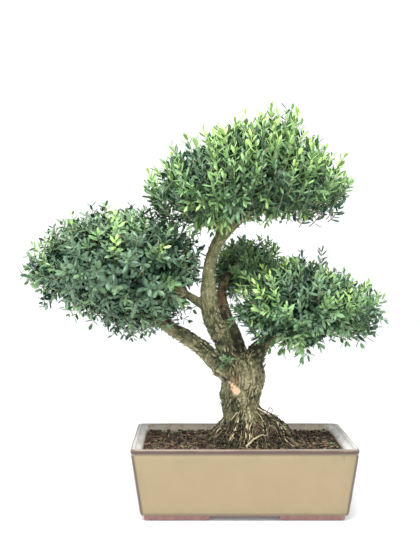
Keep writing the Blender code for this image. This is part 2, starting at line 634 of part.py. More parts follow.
def main():
    clear_scene()
    parts = bpy.data.collections.new("boxwood_bonsai")
    bpy.context.scene.collection.children.link(parts)
    root = bpy.data.objects.new("bonsai_centre", None)
    parts.objects.link(root)
    glaze = material("tan_glaze", (0.60, 0.47, 0.29), 0.3)
    plastic = material("black_mesh", (0.03, 0.03, 0.03), 0.6)
    earth = material("dark_soil", (0.05, 0.035, 0.025), 0.95)
    bark = material("bark", (0.36, 0.30, 0.18), 0.85)
    green = material("leaf_green", (0.07, 0.17, 0.05), 0.4)
    make_pot(glaze, parts, root)
    make_screens(plastic, parts, root)
    trunk = make_wood(make_soil(), bark, earth, parts, root)
    make_sprout(trunk, green, parts, root)
    for name in PADS:
        make_foliage(name, green, parts, root)
    centre_on_origin(root, parts)


main()
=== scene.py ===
# %% [markdown]
# A boxwood bonsai in a rectangular glazed pot, about 40 cm high. The solids are loaded first as a fixed
# frame: pot, soil, trunk and four pads of foliage. Each step then lays the fine surface over one of them,
# and every place is given in centimetres from the middle of the pot's underside, as a grower measures it.

# %% Frame
import itertools
import math
import random

import bpy
import numpy as np
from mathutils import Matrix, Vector


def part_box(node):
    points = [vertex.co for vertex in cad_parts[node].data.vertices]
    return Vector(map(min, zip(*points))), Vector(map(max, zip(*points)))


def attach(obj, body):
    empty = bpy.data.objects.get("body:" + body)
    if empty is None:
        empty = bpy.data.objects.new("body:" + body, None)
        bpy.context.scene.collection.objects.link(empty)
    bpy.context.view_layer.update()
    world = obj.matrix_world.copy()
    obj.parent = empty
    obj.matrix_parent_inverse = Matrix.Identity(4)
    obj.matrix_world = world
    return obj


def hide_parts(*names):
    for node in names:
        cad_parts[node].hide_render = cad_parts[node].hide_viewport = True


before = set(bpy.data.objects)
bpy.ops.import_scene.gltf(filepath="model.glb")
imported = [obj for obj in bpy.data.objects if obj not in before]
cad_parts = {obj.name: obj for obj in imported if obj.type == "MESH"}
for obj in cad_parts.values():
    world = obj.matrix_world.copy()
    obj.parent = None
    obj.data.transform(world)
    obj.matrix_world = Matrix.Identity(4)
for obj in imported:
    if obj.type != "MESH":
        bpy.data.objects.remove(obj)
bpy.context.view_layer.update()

CM = 0.01
pot_low, pot_high = (np.array(corner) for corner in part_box("pot"))
POT_CENTRE = np.array([*(pot_low + pot_high)[:2] / 2, pot_low[2]])
print("the pot's middle stands at", POT_CENTRE.round(4))

# %% [markdown]
# Bark, soil and glaze are all irregular, and the same irregular surface has to come out on every run.
# Blender's noise works on one point at a time, so here it is worked out for whole arrays: each corner of
# a lattice gets a number mixed from its own coordinates, and a point takes the eased mean of its corners.

# %% Repeatable noise on whole arrays


def mixed(cells, seed):
    """A number from 0 to 1 for each row of three whole numbers, from multiplied and shifted bits."""
    keys = np.array([73856093, 19349663, 83492791], dtype=np.uint64)
    bits = np.bitwise_xor.reduce(cells.astype(np.int64).astype(np.uint64) * keys, axis=-1)
    bits = bits + np.uint64(seed * 2654435761 + 97)
    for shift, factor in ((15, 739982445), (12, 695872825), (15, 2246822519)):
        bits = (bits ^ (bits >> np.uint64(shift))) * np.uint64(factor) & np.uint64(0xFFFFFFFF)
    return bits / 0xFFFFFFFF


def noise_at(points, seed=0):
    """Value noise: the eight lattice corners round a point, weighted by 3t^2 - 2t^3 along each axis."""
    base = np.floor(points)
    ease = (points - base) ** 2 * (3 - 2 * (points - base))
    total = 0
    for corner in itertools.product((0, 1), repeat=3):
        weight = np.where(np.array(corner), ease, 1 - ease).prod(axis=-1)
        total = total + weight * mixed(base + corner, seed)
    return total


def layered_noise(points, octaves, seed=0):
    """Noise from -1 to 1: each octave is twice as fine as the last and half as strong."""
    total, most = 0, 0
    for octave in range(octaves):
        strength = 0.5 ** octave
        total = total + strength * (2 * noise_at(points * 2 ** octave + 17.3 * octave, seed + octave) - 1)
        most += strength
    return total / most


def plates_at(points, seed=0):
    """Cells round scattered centres: how far the second nearest centre is beyond the nearest, 0 in the
    cracks between plates, and a number from 0 to 1 of each point's own plate."""
    base = np.floor(points)
    first, second = np.full(len(points), 9.0), np.full(len(points), 9.0)
    own = np.zeros(len(points))
    for step in itertools.product((-1, 0, 1), repeat=3):
        cell = base + step
        centre = cell + np.stack([mixed(cell, seed + axis) for axis in (0, 1, 2)], axis=-1)
        away = np.linalg.norm(points - centre, axis=-1)
        nearer = away < first
        second = np.where(nearer, first, np.minimum(second, away))
        own = np.where(nearer, mixed(cell, seed + 5), own)
        first = np.minimum(first, away)
    return second - first, own


def ramp(values, low, high):
    """0 below low, 1 above high, eased between."""
    share = np.clip((values - low) / (high - low), 0, 1)
    return share * share * (3 - 2 * share)


# %% [markdown]
# A piece is a dictionary of arrays: points in centimetres, four-sided and three-sided faces, and any
# number of values for the points that its material reads later. Several shapes are strung together into
# one, and only the last step turns them into a Blender mesh, in metres and in its place.

# %% From arrays to meshes


def shape(points, quads=(), tris=(), **values):
    """Points with their faces; a value that is one number is spread over all the points."""
    made = {
        "points": np.asarray(points, float).reshape(-1, 3),
        "quads": np.asarray(quads, int).reshape(-1, 4),
        "tris": np.asarray(tris, int).reshape(-1, 3),
    }
    for name, value in values.items():
        made[name] = np.broadcast_to(np.asarray(value, float), len(made["points"])).copy()
    return made


def strung(shapes):
    """Shapes joined end to end: each one's faces count on from the points before it."""
    starts = np.cumsum([0] + [len(one["points"]) for one in shapes[:-1]])
    made = {}
    for name in shapes[0]:
        counted = name in ("quads", "tris")
        rows = [one[name] + start if counted else one[name] for one, start in zip(shapes, starts)]
        made[name] = np.concatenate(rows)
    return made


def mesh_from(name, made):
    """A mesh with the shape's faces, and each of its values as an attribute of the points."""
    mesh = bpy.data.meshes.new(name)
    quads, tris = made["quads"], made["tris"]
    mesh.vertices.add(len(made["points"]))
    mesh.vertices.foreach_set("co", (made["points"] * CM + POT_CENTRE).ravel())
    corners = np.concatenate([quads.ravel(), tris.ravel()]).astype(np.int32)
    mesh.loops.add(len(corners))
    mesh.loops.foreach_set("vertex_index", corners)
    starts = np.concatenate([np.arange(len(quads)) * 4, 4 * len(quads) + np.arange(len(tris)) * 3])
    mesh.polygons.add(len(starts))
    mesh.polygons.foreach_set("loop_start", starts.astype(np.int32))
    mesh.update(calc_edges=True)
    for key in made:
        if key not in ("points", "quads", "tris"):
            mesh.attributes.new(key, "FLOAT", "POINT").data.foreach_set("value", made[key].astype(np.float32))
    return mesh


def finished(name, mesh, finish, replaced=(), sharp_from=None):
    """The piece itself: shaded smooth, in its finish, riding on the object's one body."""
    piece = bpy.data.objects.new(name, mesh)
    bpy.context.scene.collection.objects.link(piece)
    mesh.materials.append(finish)
    mesh.shade_smooth()
    if sharp_from is not None:
        mesh.set_sharp_from_angle(angle=math.radians(sharp_from))
    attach(piece, "root")
    if replaced:
        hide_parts(*replaced)
    mesh.calc_loop_triangles()
    print(name, "has", len(mesh.loop_triangles), "triangles")
    return piece


# %% [markdown]
# Roots, twigs and branches are tubes, and the shoots alone need more than a thousand of them. So one
# function makes any number of tubes at once: rings of points square to each path, quads between the
# rings and a fan on each end, so that every tube is a closed body. A leaf is a flat tube of two rings.

# %% Tubes and blades


def between_rings(rings, around):
    """Squares between rings of points that are numbered one ring after another."""
    ring = np.arange(around)
    near = (np.arange(rings - 1)[:, None] * around + ring).ravel()
    side = (np.arange(rings - 1)[:, None] * around + (ring + 1) % around).ravel()
    return np.stack([near, side, side + around, near + around], axis=-1)


def end_fans(rings, around, low, high):
    """Triangles that close the first ring round the point numbered low and the last round high."""
    ring, last = np.arange(around), (rings - 1) * around
    after = (ring + 1) % around
    return np.concatenate([np.stack([np.full(around, low), after, ring], axis=-1),
                           np.stack([np.full(around, high), last + ring, last + after], axis=-1)])


def tubes(paths, radii, sides, **values):
    """Tubes along paths (tube, step, xyz) with radii (tube, step): path + r (cos a n1 + sin a n2)."""
    paths = np.asarray(paths, float)
    count, steps, _ = paths.shape
    radii = np.broadcast_to(np.asarray(radii, float), (count, steps))
    way = np.gradient(paths, axis=1)
    way /= np.linalg.norm(way, axis=-1, keepdims=True)
    least = np.abs(way.mean(axis=1)).argmin(axis=-1)
    first = np.cross(way, np.eye(3)[least][:, None, :])
    first /= np.linalg.norm(first, axis=-1, keepdims=True)
    second = np.cross(way, first)
    turn = np.arange(sides) * 2 * math.pi / sides
    spread = first[:, :, None] * np.cos(turn)[:, None] + second[:, :, None] * np.sin(turn)[:, None]
    rings = paths[:, :, None] + spread * radii[:, :, None, None]
    per_tube = steps * sides + 2
    points = np.concatenate([rings.reshape(count, -1, 3), paths[:, :1], paths[:, -1:]], axis=1)
    quads = between_rings(steps, sides)
    tris = end_fans(steps, sides, steps * sides, steps * sides + 1)
    offset = (np.arange(count) * per_tube)[:, None, None]
    spread_out = {name: np.repeat(np.broadcast_to(value, count), per_tube) for name, value in values.items()}
    return shape(points, quads + offset, tris + offset, **spread_out)


BLADE_STATIONS = np.array([0.24, 0.70])
BLADE_WIDTHS = np.array([0.80, 1.00])


def blades(start, run, wide, length, width, thick, arch, fold, values):
    """Closed thin blades: rings of three points (edge, crest, edge) at each station, where the height is
    arch t^2 lower towards the tip and fold lower at the edges, with a point at either end."""
    start, run, wide = (np.asarray(rows, float) for rows in (start, run, wide))
    face = np.cross(run, wide)
    length, width, thick, arch, fold = (
        np.broadcast_to(np.asarray(size, float), len(start)) for size in (length, width, thick, arch, fold))
    along = np.concatenate([[0.0], np.repeat(BLADE_STATIONS, 3), [1.0]])
    across = np.concatenate([[0.0], (BLADE_WIDTHS[:, None] * [1, 0, -1]).ravel(), [0.0]])
    crest = np.concatenate([[0.0], np.tile([0, 1, 0], len(BLADE_STATIONS)), [0.0]])
    height = (crest * thick[:, None] - arch[:, None] * along ** 2 * length[:, None]
              - fold[:, None] * np.abs(across) * width[:, None])
    points = (start[:, None] + run[:, None] * (along * length[:, None])[..., None]
              + wide[:, None] * (across * width[:, None] / 2)[..., None] + face[:, None] * height[..., None])
    stations = len(BLADE_STATIONS)
    per_blade = 3 * stations + 2
    quads = between_rings(stations, 3) + 1
    tris = end_fans(stations, 3, -1, 3 * stations) + 1
    offset = (np.arange(len(start)) * per_blade)[:, None, None]
    made = {name: np.repeat(np.broadcast_to(value, len(start)), per_blade) for name, value in values.items()}
    made["crest"] = np.tile(crest, len(start))
    return shape(points, quads + offset, tris + offset, **made)


def unit(rows):
    return rows / np.linalg.norm(rows, axis=-1, keepdims=True)


# %% [markdown]
# Every finish below needs the same two things: grain that changes over a few millimetres and patches
# that change over centimetres. Both are made once as shader node groups. They read Object coordinates,
# in metres, and give out plain masks, which each material turns into its own colours.

# %% Shared grain and patches


def mask_group(name, detail, roughness, stretch=(1, 1, 1)):
    """A group that gives noise at a Scale, cut to a mask between Low and High."""
    group = bpy.data.node_groups.new(name, "ShaderNodeTree")
    for socket, value in (("Scale", 50.0), ("Low", 0.4), ("High", 0.6)):
        entry_socket = group.interface.new_socket(socket, in_out="INPUT", socket_type="NodeSocketFloat")
        entry_socket.default_value = value
    group.interface.new_socket("Mask", in_out="OUTPUT", socket_type="NodeSocketFloat")
    nodes, links = group.nodes, group.links
    entry, leave = nodes.new("NodeGroupInput"), nodes.new("NodeGroupOutput")
    place = nodes.new("ShaderNodeTexCoord")
    mapping = nodes.new("ShaderNodeMapping")
    mapping.inputs["Scale"].default_value = stretch
    texture = nodes.new("ShaderNodeTexNoise")
    texture.inputs["Detail"].default_value = detail
    texture.inputs["Roughness"].default_value = roughness
    cut = nodes.new("ShaderNodeMapRange")
    links.new(place.outputs["Object"], mapping.inputs["Vector"])
    links.new(mapping.outputs["Vector"], texture.inputs["Vector"])
    links.new(entry.outputs["Scale"], texture.inputs["Scale"])
    links.new(texture.outputs["Fac"], cut.inputs["Value"])
    links.new(entry.outputs["Low"], cut.inputs["From Min"])
    links.new(entry.outputs["High"], cut.inputs["From Max"])
    links.new(cut.outputs["Result"], leave.inputs["Mask"])
    return group


GRAIN = mask_group("fine_grain", 6.0, 0.65)
PATCHES = mask_group("soft_patches", 2.0, 0.5)
RUNS = mask_group("runs_down_the_wall", 3.0, 0.6, (1, 1, 0.12))
print("made the node groups", GRAIN.name, PATCHES.name, RUNS.name)


class Finish:
    """A material with a Principled shader, and short ways to add the nodes that colour it."""

    def __init__(self, name, **settings):
        self.material = bpy.data.materials.new(name)
        self.material.use_nodes = True
        self.tree = self.material.node_tree
        self.shader = self.tree.nodes["Principled BSDF"]
        for socket, value in settings.items():
            self.shader.inputs[socket.replace("_", " ")].default_value = value

    def put(self, value, socket):
        """Links an output into a socket, or sets the socket to a plain value or colour."""
        if isinstance(value, bpy.types.NodeSocket):
            self.tree.links.new(value, socket)
        elif isinstance(value, tuple):
            socket.default_value = (*value, 1.0)
        else:
            socket.default_value = value

    def mask(self, group, scale, low, high):
        node = self.tree.nodes.new("ShaderNodeGroup")
        node.node_tree = group
        for name, value in (("Scale", scale), ("Low", low), ("High", high)):
            node.inputs[name].default_value = value
        return node.outputs["Mask"]

    def value(self, name):
        node = self.tree.nodes.new("ShaderNodeAttribute")
        node.attribute_name = name
        return node.outputs["Fac"]

    def blend(self, share, first, second, how="MIX"):
        """Colour first where share is 0 and second where it is 1."""
        node = self.tree.nodes.new("ShaderNodeMix")
        node.data_type = "RGBA"
        node.blend_type = how
        self.put(share, node.inputs[0])
        self.put(first, node.inputs[6])
        self.put(second, node.inputs[7])
        return node.outputs[2]

    def sum(self, first, second, how="MULTIPLY"):
        node = self.tree.nodes.new("ShaderNodeMath")
        node.operation = how
        self.put(first, node.inputs[0])
        self.put(second, node.inputs[1])
        return node.outputs[0]

    def colour(self, value):
        self.put(value, self.shader.inputs["Base Color"])

    def roughness(self, share, low, high):
        """Roughness from low where share is 0 to high where it is 1."""
        node = self.tree.nodes.new("ShaderNodeMapRange")
        self.put(share, node.inputs["Value"])
        node.inputs["To Min"].default_value = low
        node.inputs["To Max"].default_value = high
        self.put(node.outputs["Result"], self.shader.inputs["Roughness"])

    def bump(self, height, depth):
        """Relief of that many metres from a height between 0 and 1."""
        node = self.tree.nodes.new("ShaderNodeBump")
        node.inputs["Distance"].default_value = depth
        self.put(height, node.inputs["Height"])
        self.put(node.outputs["Normal"], self.shader.inputs["Normal"])


# %% [markdown]
# The pot is slip-cast stoneware with a tan glaze. The glaze runs thin on the edges, where the red-brown
# clay shows through, watering has left a white scale of lime on the rim, and drips have stained the wall.
# Its masks follow the profile, so they are values of the points, and grain breaks them up.

# %% Glaze finish
glaze = Finish("tan_glaze", Roughness=0.34, Coat_Weight=0.12, Coat_Roughness=0.2)
mottle = glaze.mask(PATCHES, 45, 0.35, 0.7)
runs = glaze.mask(RUNS, 160, 0.42, 0.72)
body_tan = glaze.blend(mottle, (0.238, 0.176, 0.093), (0.252, 0.186, 0.101))
body_tan = glaze.blend(glaze.sum(runs, 0.16), body_tan, (0.212, 0.170, 0.084))
border = glaze.sum(glaze.value("border"), glaze.mask(GRAIN, 60, 0.30, 0.62))
body_tan = glaze.blend(glaze.sum(border, 0.50), body_tan, (0.184, 0.162, 0.080))
speck = glaze.mask(GRAIN, 900, 0.66, 0.75)
body_tan = glaze.blend(glaze.sum(speck, 0.25), body_tan, (0.20, 0.14, 0.07))
scale_mask = glaze.sum(glaze.value("lime"), glaze.mask(GRAIN, 140, 0.30, 0.50))
body_tan = glaze.blend(scale_mask, body_tan, (0.56, 0.55, 0.53))
thin = glaze.sum(glaze.value("edge"), glaze.mask(GRAIN, 260, 0.06, 0.32))
body_tan = glaze.blend(thin, body_tan, (0.060, 0.031, 0.024))
stain_mask = glaze.sum(glaze.value("stain"), glaze.mask(RUNS, 420, 0.50, 0.62))
body_tan = glaze.blend(glaze.sum(stain_mask, 0.8), body_tan, (0.17, 0.12, 0.06))
clay = glaze.value("clay")
bare_clay = glaze.blend(glaze.mask(GRAIN, 180, 0.35, 0.65), (0.20, 0.10, 0.085), (0.27, 0.15, 0.125))
body_tan = glaze.blend(clay, body_tan, bare_clay)
glaze.colour(body_tan)
glaze.roughness(glaze.sum(scale_mask, clay, "MAXIMUM"), 0.30, 0.75)
glaze.bump(glaze.mask(GRAIN, 320, 0.3, 0.7), 0.00010)

# %% [markdown]
# The pot's form is a profile of outset and height, carried round a rectangle with rounded corners.
# Small arcs in the profile soften each edge, as glaze does. Working it out as a grid of profile times
# outline lets the same grid carry the masks for worn edges, lime and stains.

# %% Pot
POT_LENGTH, POT_DEPTH, POT_HEIGHT = 22.2, 16.0, 7.1
WALL_LEAN, LIP_PROUD, FLOOR_TOP = 0.90, 0.18, 1.20
SOIL_BELOW_RIM = 0.75
DRAIN_X, DRAIN_RADIUS = 4.8, 0.8


def lean_at(height):
    """How far a wall has leaned in at a height over the base."""
    return WALL_LEAN * (POT_HEIGHT - height) / POT_HEIGHT


def rounded_rectangle(half_x, half_y, radius, side_steps, corner_steps):
    """Points counter-clockwise round a rectangle: four quarter circles joined by straight sides. Also
    how far each point is into a corner, 0 on the sides and 1 at the middle of a corner's arc."""
    points, corner = [], []
    for index, (sx, sy) in enumerate(((1, 1), (-1, 1), (-1, -1), (1, -1))):
        turn = math.pi / 2 * (index + np.linspace(0, 1, corner_steps))
        centre = np.array([sx * (half_x - radius), sy * (half_y - radius)])
        arc = centre + radius * np.stack([np.cos(turn), np.sin(turn)], axis=-1)
        points.append(arc)
        corner.append(np.sin(np.linspace(0, math.pi, corner_steps)))
        next_sx, next_sy = ((-1, 1), (-1, -1), (1, -1), (1, 1))[index]
        next_centre = np.array([next_sx * (half_x - radius), next_sy * (half_y - radius)])
        begin = next_centre + radius * np.array([math.cos(turn[-1]), math.sin(turn[-1])])
        share = np.linspace(0, 1, side_steps + 2)[1:-1, None]
        points.append(arc[-1] + (begin - arc[-1]) * share)
        corner.append(np.zeros(side_steps))
    return np.concatenate(points), np.concatenate(corner)


# Each row of the profile: outset from the rim's outline, height, corner radius, edge, lime and clay masks.
WALL_ROWS = [(-0.06 - 0.145 * (6.5 - z), z, 0.60, 0.0, 0.0, 0.0) for z in np.linspace(0.85, 6.30, 17)]
POT_PROFILE = [
    (-3.20, 0.40, 0.30, 0.0, 0.0, 1.0), (-1.45, 0.40, 0.45, 0.2, 0.0, 1.0),
    (-1.20, 0.42, 0.50, 0.6, 0.0, 1.0), (-1.00, 0.50, 0.55, 0.7, 0.0, 0.6),
    (-0.93, 0.64, 0.60, 0.5, 0.0, 0.0), *WALL_ROWS, (-0.10, 6.44, 0.60, 0.0, 0.0, 0.0),
    (-0.13, 6.50, 0.60, 0.0, 0.0, 0.0), (-0.11, 6.56, 0.60, 0.0, 0.0, 0.0),
    (-0.055, 6.62, 0.60, 0.0, 0.0, 0.0), (-0.042, 6.68, 0.60, 0.0, 0.0, 0.0),
    (-0.034, 6.74, 0.60, 0.0, 0.0, 0.0), (-0.028, 6.80, 0.60, 0.0, 0.0, 0.0),
    (-0.025, 6.86, 0.60, 0.0, 0.0, 0.0), (-0.028, 6.93, 0.60, 0.2, 0.0, 0.0),
    (-0.045, 7.01, 0.60, 0.45, 0.1, 0.0), (-0.11, 7.075, 0.58, 0.80, 0.5, 0.0),
    (-0.20, 7.10, 0.56, 0.45, 0.8, 0.0), (-0.36, 7.095, 0.53, 0.1, 1.0, 0.0),
    (-0.46, 7.05, 0.50, 0.5, 1.0, 0.0), (-0.56, 6.95, 0.48, 0.2, 1.0, 0.0),
    (-0.76, 6.72, 0.44, 0.0, 1.0, 0.0), (-0.92, 6.54, 0.42, 0.0, 0.9, 0.0),
    (-1.02, 6.40, 0.40, 0.0, 0.7, 0.2), (-1.12, 6.20, 0.40, 0.0, 0.4, 0.4),
    (-1.38, 4.30, 0.40, 0.0, 0.0, 1.0), (-1.75, 1.40, 0.40, 0.0, 0.0, 1.0),
    (-1.95, 1.20, 0.40, 0.0, 0.0, 1.0), (-4.20, 1.20, 0.30, 0.0, 0.0, 1.0),
]
# The underside and the rounded foot of the wall are 5 rows, and the lip as far as its crest 13.
OUTER_ROWS = len(WALL_ROWS) + 18


def pot_body():
    """The profile at each point of the outline, closed by a fan on the underside and one on the floor."""
    rows, corners = [], None
    for outset, height, radius, *_ in POT_PROFILE:
        flat, corners = rounded_rectangle(POT_LENGTH / 2 + outset, POT_DEPTH / 2 + outset, radius, 26, 9)
        rows.append(np.column_stack([flat, np.full(len(flat), height)]))
    grid = np.array(rows)
    levels, around = grid.shape[:2]
    wave = layered_noise(grid.reshape(-1, 3) * 0.45, 2, 3).reshape(levels, around)
    heights = np.array([row[1] for row in POT_PROFILE])
    outer = ((np.arange(levels) < OUTER_ROWS) & (heights > 0.6))[:, None]
    grid[..., :2] *= 1 + 0.0022 * (wave * outer)[..., None]
    grid[..., 2] += 0.012 * wave * outer * (grid[..., 2] > 5)
    masks = {name: np.repeat([row[column] for row in POT_PROFILE], around)
             for name, column in (("edge", 3), ("lime", 4), ("clay", 5))}
    wall = (grid[..., 2] > 0.6) & (grid[..., 2] < 6.5) & outer
    corners = np.tile(corners, (levels, 1))
    masks["edge"] = np.maximum(masks["edge"], (0.95 * ramp(corners, 0.62, 0.92) * wall).ravel())
    x, y, z = grid.reshape(-1, 3).T
    drift = layered_noise(grid.reshape(-1, 3) * [0.7, 0.7, 0.0], 2, 7)
    line = np.exp(-((z - 6.82 - 0.05 * drift) / (0.18 + 0.06 * drift)) ** 2)
    masks["edge"] = np.maximum(masks["edge"], np.minimum(1, 1.6 * line) * np.repeat(outer, around))
    ends = ramp(np.abs(x), 9.90, 10.10)
    front_right = 0.55 * ramp(x, 0, 8) * (y < 0) * (z > 6.95)
    masks["lime"] = masks["lime"] * np.clip(ends + front_right + 0.10 + 0.28 * (y > 5), 0, 1)
    drip = ramp(x, 7.4, 9.6) * ramp(z, 5.3, 6.4) + 0.8 * ramp(x, 6.8, 9.6) * ramp(-z, -2.2, -0.6) * 0.6
    masks["stain"] = np.clip(drip, 0, 1) * wall.ravel()
    below_lip = 0.9 * ramp(z, 6.10, 6.45) + 0.35 * ramp(z, 4.4, 6.3)
    border = np.maximum(np.maximum(ramp(-z, -1.9, -0.7), 0.8 * ramp(np.abs(x), 9.0, 10.4)), below_lip)
    masks["border"] = border * (z > 0.6) * (z < 6.7) * np.repeat(outer, around)
    poles = np.array([[0, 0, heights[0]], [0, 0, heights[-1]]])
    masks = {name: np.append(value, [value[0], value[-1]]) for name, value in masks.items()}
    fans = end_fans(levels, around, levels * around, levels * around + 1)
    return shape(np.concatenate([grid.reshape(-1, 3), poles]), between_rings(levels, around), fans, **masks)


def foot_block(corner_x, corner_y, size_x, size_y, behind=0.0):
    """One arm of a corner foot: a low block with rounded edges, from the pot's corner inwards. The second
    arm starts behind the first, and its sides stand back a little, so that no two faces coincide."""
    rows = []
    for inset, height in ((0.10, 0.0), (0.03, 0.03), (0.0, 0.10), (0.0, 0.46)):
        flat, _ = rounded_rectangle(size_x / 2 - inset, size_y / 2 - inset, 0.14, 3, 4)
        rows.append(np.column_stack([flat, np.full(len(flat), height)]))
    grid = np.array(rows)
    grid[..., 0] += corner_x - math.copysign(size_x / 2 + behind * 0.015, corner_x)
    grid[..., 1] += corner_y - math.copysign(size_y / 2 + behind, corner_y)
    levels, around = grid.shape[:2]
    poles = np.array([grid[0].mean(axis=0), grid[-1].mean(axis=0)])
    fans = end_fans(levels, around, levels * around, levels * around + 1)
    return shape(np.concatenate([grid.reshape(-1, 3), poles]), between_rings(levels, around), fans,
                 edge=0, lime=0, clay=1, stain=0, border=0)


def cut_drains(body):
    """Two drainage holes through the floor, cut with round bars that are then removed."""
    bars = []
    for side in (-1, 1):
        place = POT_CENTRE + np.array([side * DRAIN_X, 0, 0.8]) * CM
        bpy.ops.mesh.primitive_cylinder_add(vertices=32, radius=DRAIN_RADIUS * CM, depth=0.03,
                                            location=tuple(place))
        bars.append(bpy.context.object)
    whole = bpy.data.objects.new("pot_uncut", body)
    bpy.context.scene.collection.objects.link(whole)
    for bar in bars:
        cut = whole.modifiers.new("drain", "BOOLEAN")
        cut.operation, cut.object, cut.solver = "DIFFERENCE", bar, "EXACT"
    graph = bpy.context.evaluated_depsgraph_get()
    mesh = bpy.data.meshes.new_from_object(whole.evaluated_get(graph))
    for thing in (whole, *bars):
        bpy.data.objects.remove(thing, do_unlink=True)
    mesh.materials.clear()
    return mesh


foot_x = POT_LENGTH / 2 - LIP_PROUD - WALL_LEAN - 0.25
foot_y = POT_DEPTH / 2 - LIP_PROUD - WALL_LEAN - 0.25
feet = [foot_block(sx * foot_x, sy * foot_y, *size) for sx in (-1, 1) for sy in (-1, 1)
        for size in ((6.4, 1.4), (1.36, 2.65, 1.35))]
pot_mesh = cut_drains(mesh_from("pot_body", pot_body()))
finished("pot_glazed", pot_mesh, glaze.material, ["pot"])
finished("pot_feet", mesh_from("pot_feet", strung(feet)), glaze.material, ["pot"], sharp_from=50)

# %% [markdown]
# Two squares of black plastic mesh lie over the drainage holes, under the soil. Their solids are already
# the right shape, so they keep their meshes and only get a matte plastic finish with a moulded grain.

# %% Drainage mesh
plastic = Finish("black_mesh", Roughness=0.55)
moulded = plastic.mask(GRAIN, 500, 0.3, 0.7)
plastic.colour(plastic.blend(moulded, (0.020, 0.020, 0.022), (0.045, 0.045, 0.047)))
plastic.bump(plastic.mask(GRAIN, 1500, 0.3, 0.7), 0.00005)
for name in ("drain_screen_left", "drain_screen_right"):
    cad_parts[name].material_slots[0].material = plastic.material
print("the two screens are in", plastic.material.name)

# %% [markdown]
# The wood is described by the middle line of each limb, with a radius at every point. A smooth curve
# through these points gives the trunk, the leader that climbs to the top, a second stem behind it, the
# lower left branch, a pale one above it and a short one on the right. Each root is an angle, its reach
# from the trunk's middle and its radius.

# %% Limbs
TRUNK = [
    (0.30, 0.1, 5.77, 1.9), (0.28, 0.1, 6.97, 2.45), (0.20, 0.1, 7.97, 2.60), (0.12, 0.1, 8.72, 2.15),
    (-0.10, 0.1, 9.72, 1.80), (-0.10, 0.1, 10.77, 1.88), (0.08, 0.1, 11.82, 2.06), (0.24, 0.1, 12.97, 2.08),
    (0.22, 0.1, 13.97, 1.86), (0.10, 0.2, 14.77, 1.50), (0.0, 0.3, 15.37, 0.85),
]
LEADER = [
    (-0.55, -0.1, 12.97, 1.0), (-1.05, -0.2, 14.27, 1.0), (-1.55, -0.3, 15.47, 0.92),
    (-1.80, -0.3, 16.57, 0.88), (-2.31, -0.4, 17.82, 0.98), (-3.08, -0.5, 19.37, 0.92),
    (-3.35, -0.5, 21.02, 0.90), (-3.42, -0.4, 22.57, 0.76), (-3.40, -0.2, 24.07, 0.61),
    (-3.03, 0.0, 25.67, 0.59), (-2.26, 0.2, 27.37, 0.62), (-1.30, 0.3, 28.47, 0.58),
    (-0.2, 0.4, 29.47, 0.52), (1.4, 0.5, 30.57, 0.44), (3.5, 0.5, 31.47, 0.34),
]
SECOND_STEM = [
    (0.15, 0.5, 13.27, 1.05), (0.02, 0.8, 14.87, 0.88), (-0.29, 1.1, 16.47, 0.62),
    (-0.68, 1.4, 17.67, 0.58), (-1.45, 1.7, 19.27, 0.60), (-1.89, 2.0, 20.87, 0.52),
    (-1.95, 2.5, 22.07, 0.50), (-1.55, 3.3, 23.17, 0.44), (-0.55, 4.5, 24.17, 0.38),
    (0.6, 5.8, 24.87, 0.32),
]
LEFT_BRANCH = [
    (-0.3, 0.0, 11.97, 0.95), (-1.25, -0.2, 13.27, 0.95), (-2.15, -0.4, 14.24, 0.94),
    (-2.90, -0.6, 15.02, 0.88), (-3.72, -0.7, 15.87, 0.83), (-4.67, -0.8, 16.67, 0.77),
    (-5.85, -0.9, 17.47, 0.78), (-7.0, -1.0, 18.07, 0.68), (-8.4, -1.0, 18.99, 0.54),
    (-10.2, -1.0, 20.17, 0.40), (-12.2, -1.0, 21.37, 0.30),
]
PALE_BRANCH = [
    (-2.95, -0.5, 19.87, 0.56), (-3.95, -0.5, 20.62, 0.50), (-5.0, -0.35, 21.27, 0.42),
    (-5.95, -0.2, 21.87, 0.35), (-6.9, 0.0, 22.37, 0.28), (-8.3, 0.2, 23.27, 0.22),
]
RIGHT_BRANCH = [
    (0.55, 0.0, 12.97, 1.35), (0.95, 0.0, 14.27, 1.20), (1.45, 0.0, 15.47, 1.00), (2.15, -0.1, 16.42, 0.78),
    (3.0, -0.2, 16.97, 0.58), (3.9, -0.4, 17.32, 0.46), (5.15, -0.6, 17.97, 0.38), (6.7, -0.8, 18.97, 0.30),
]
BRANCH_STUBS = [
    [(-3.3, -0.6, 15.37, 0.30), (-3.55, -1.3, 16.12, 0.24)],
    [(-2.7, -0.6, 14.87, 0.30), (-2.45, -1.35, 15.57, 0.22)],
]
PRUNING_SCAR = [(-0.3, -1.0, 11.57, 0.62), (-0.66, -2.08, 11.87, 0.50)]
ROOTS = [
    (-6, 7.0, 0.12), (-28, 7.0, 0.11), (-50, 6.9, 0.11), (-71, 6.3, 0.10), (-93, 6.0, 0.10),
    (-115, 5.8, 0.10), (-140, 5.2, 0.13), (-170, 4.6, 0.13), (150, 4.6, 0.12), (95, 5.5, 0.13),
    (38, 6.2, 0.13),
]
ROOT_CENTRE, ROOT_START, ROOT_START_HEIGHT, ROOT_WANDER = (0.3, 0.1), 1.3, 9.3, 0.35
MOUND_CENTRE, MOUND_RISE, MOUND_SPREAD, MOUND_STEEP = (1.1, -0.1), 2.8, (4.3, 4.0), 1.1


def soil_level(x, y):
    """The soil's surface: level, with a round-topped mound, exp(-steep d^4), d counted in its spreads."""
    away = ((x - MOUND_CENTRE[0]) / MOUND_SPREAD[0]) ** 2 + ((y - MOUND_CENTRE[1]) / MOUND_SPREAD[1]) ** 2
    return POT_HEIGHT - SOIL_BELOW_RIM + MOUND_RISE * np.exp(-MOUND_STEEP * away ** 2)


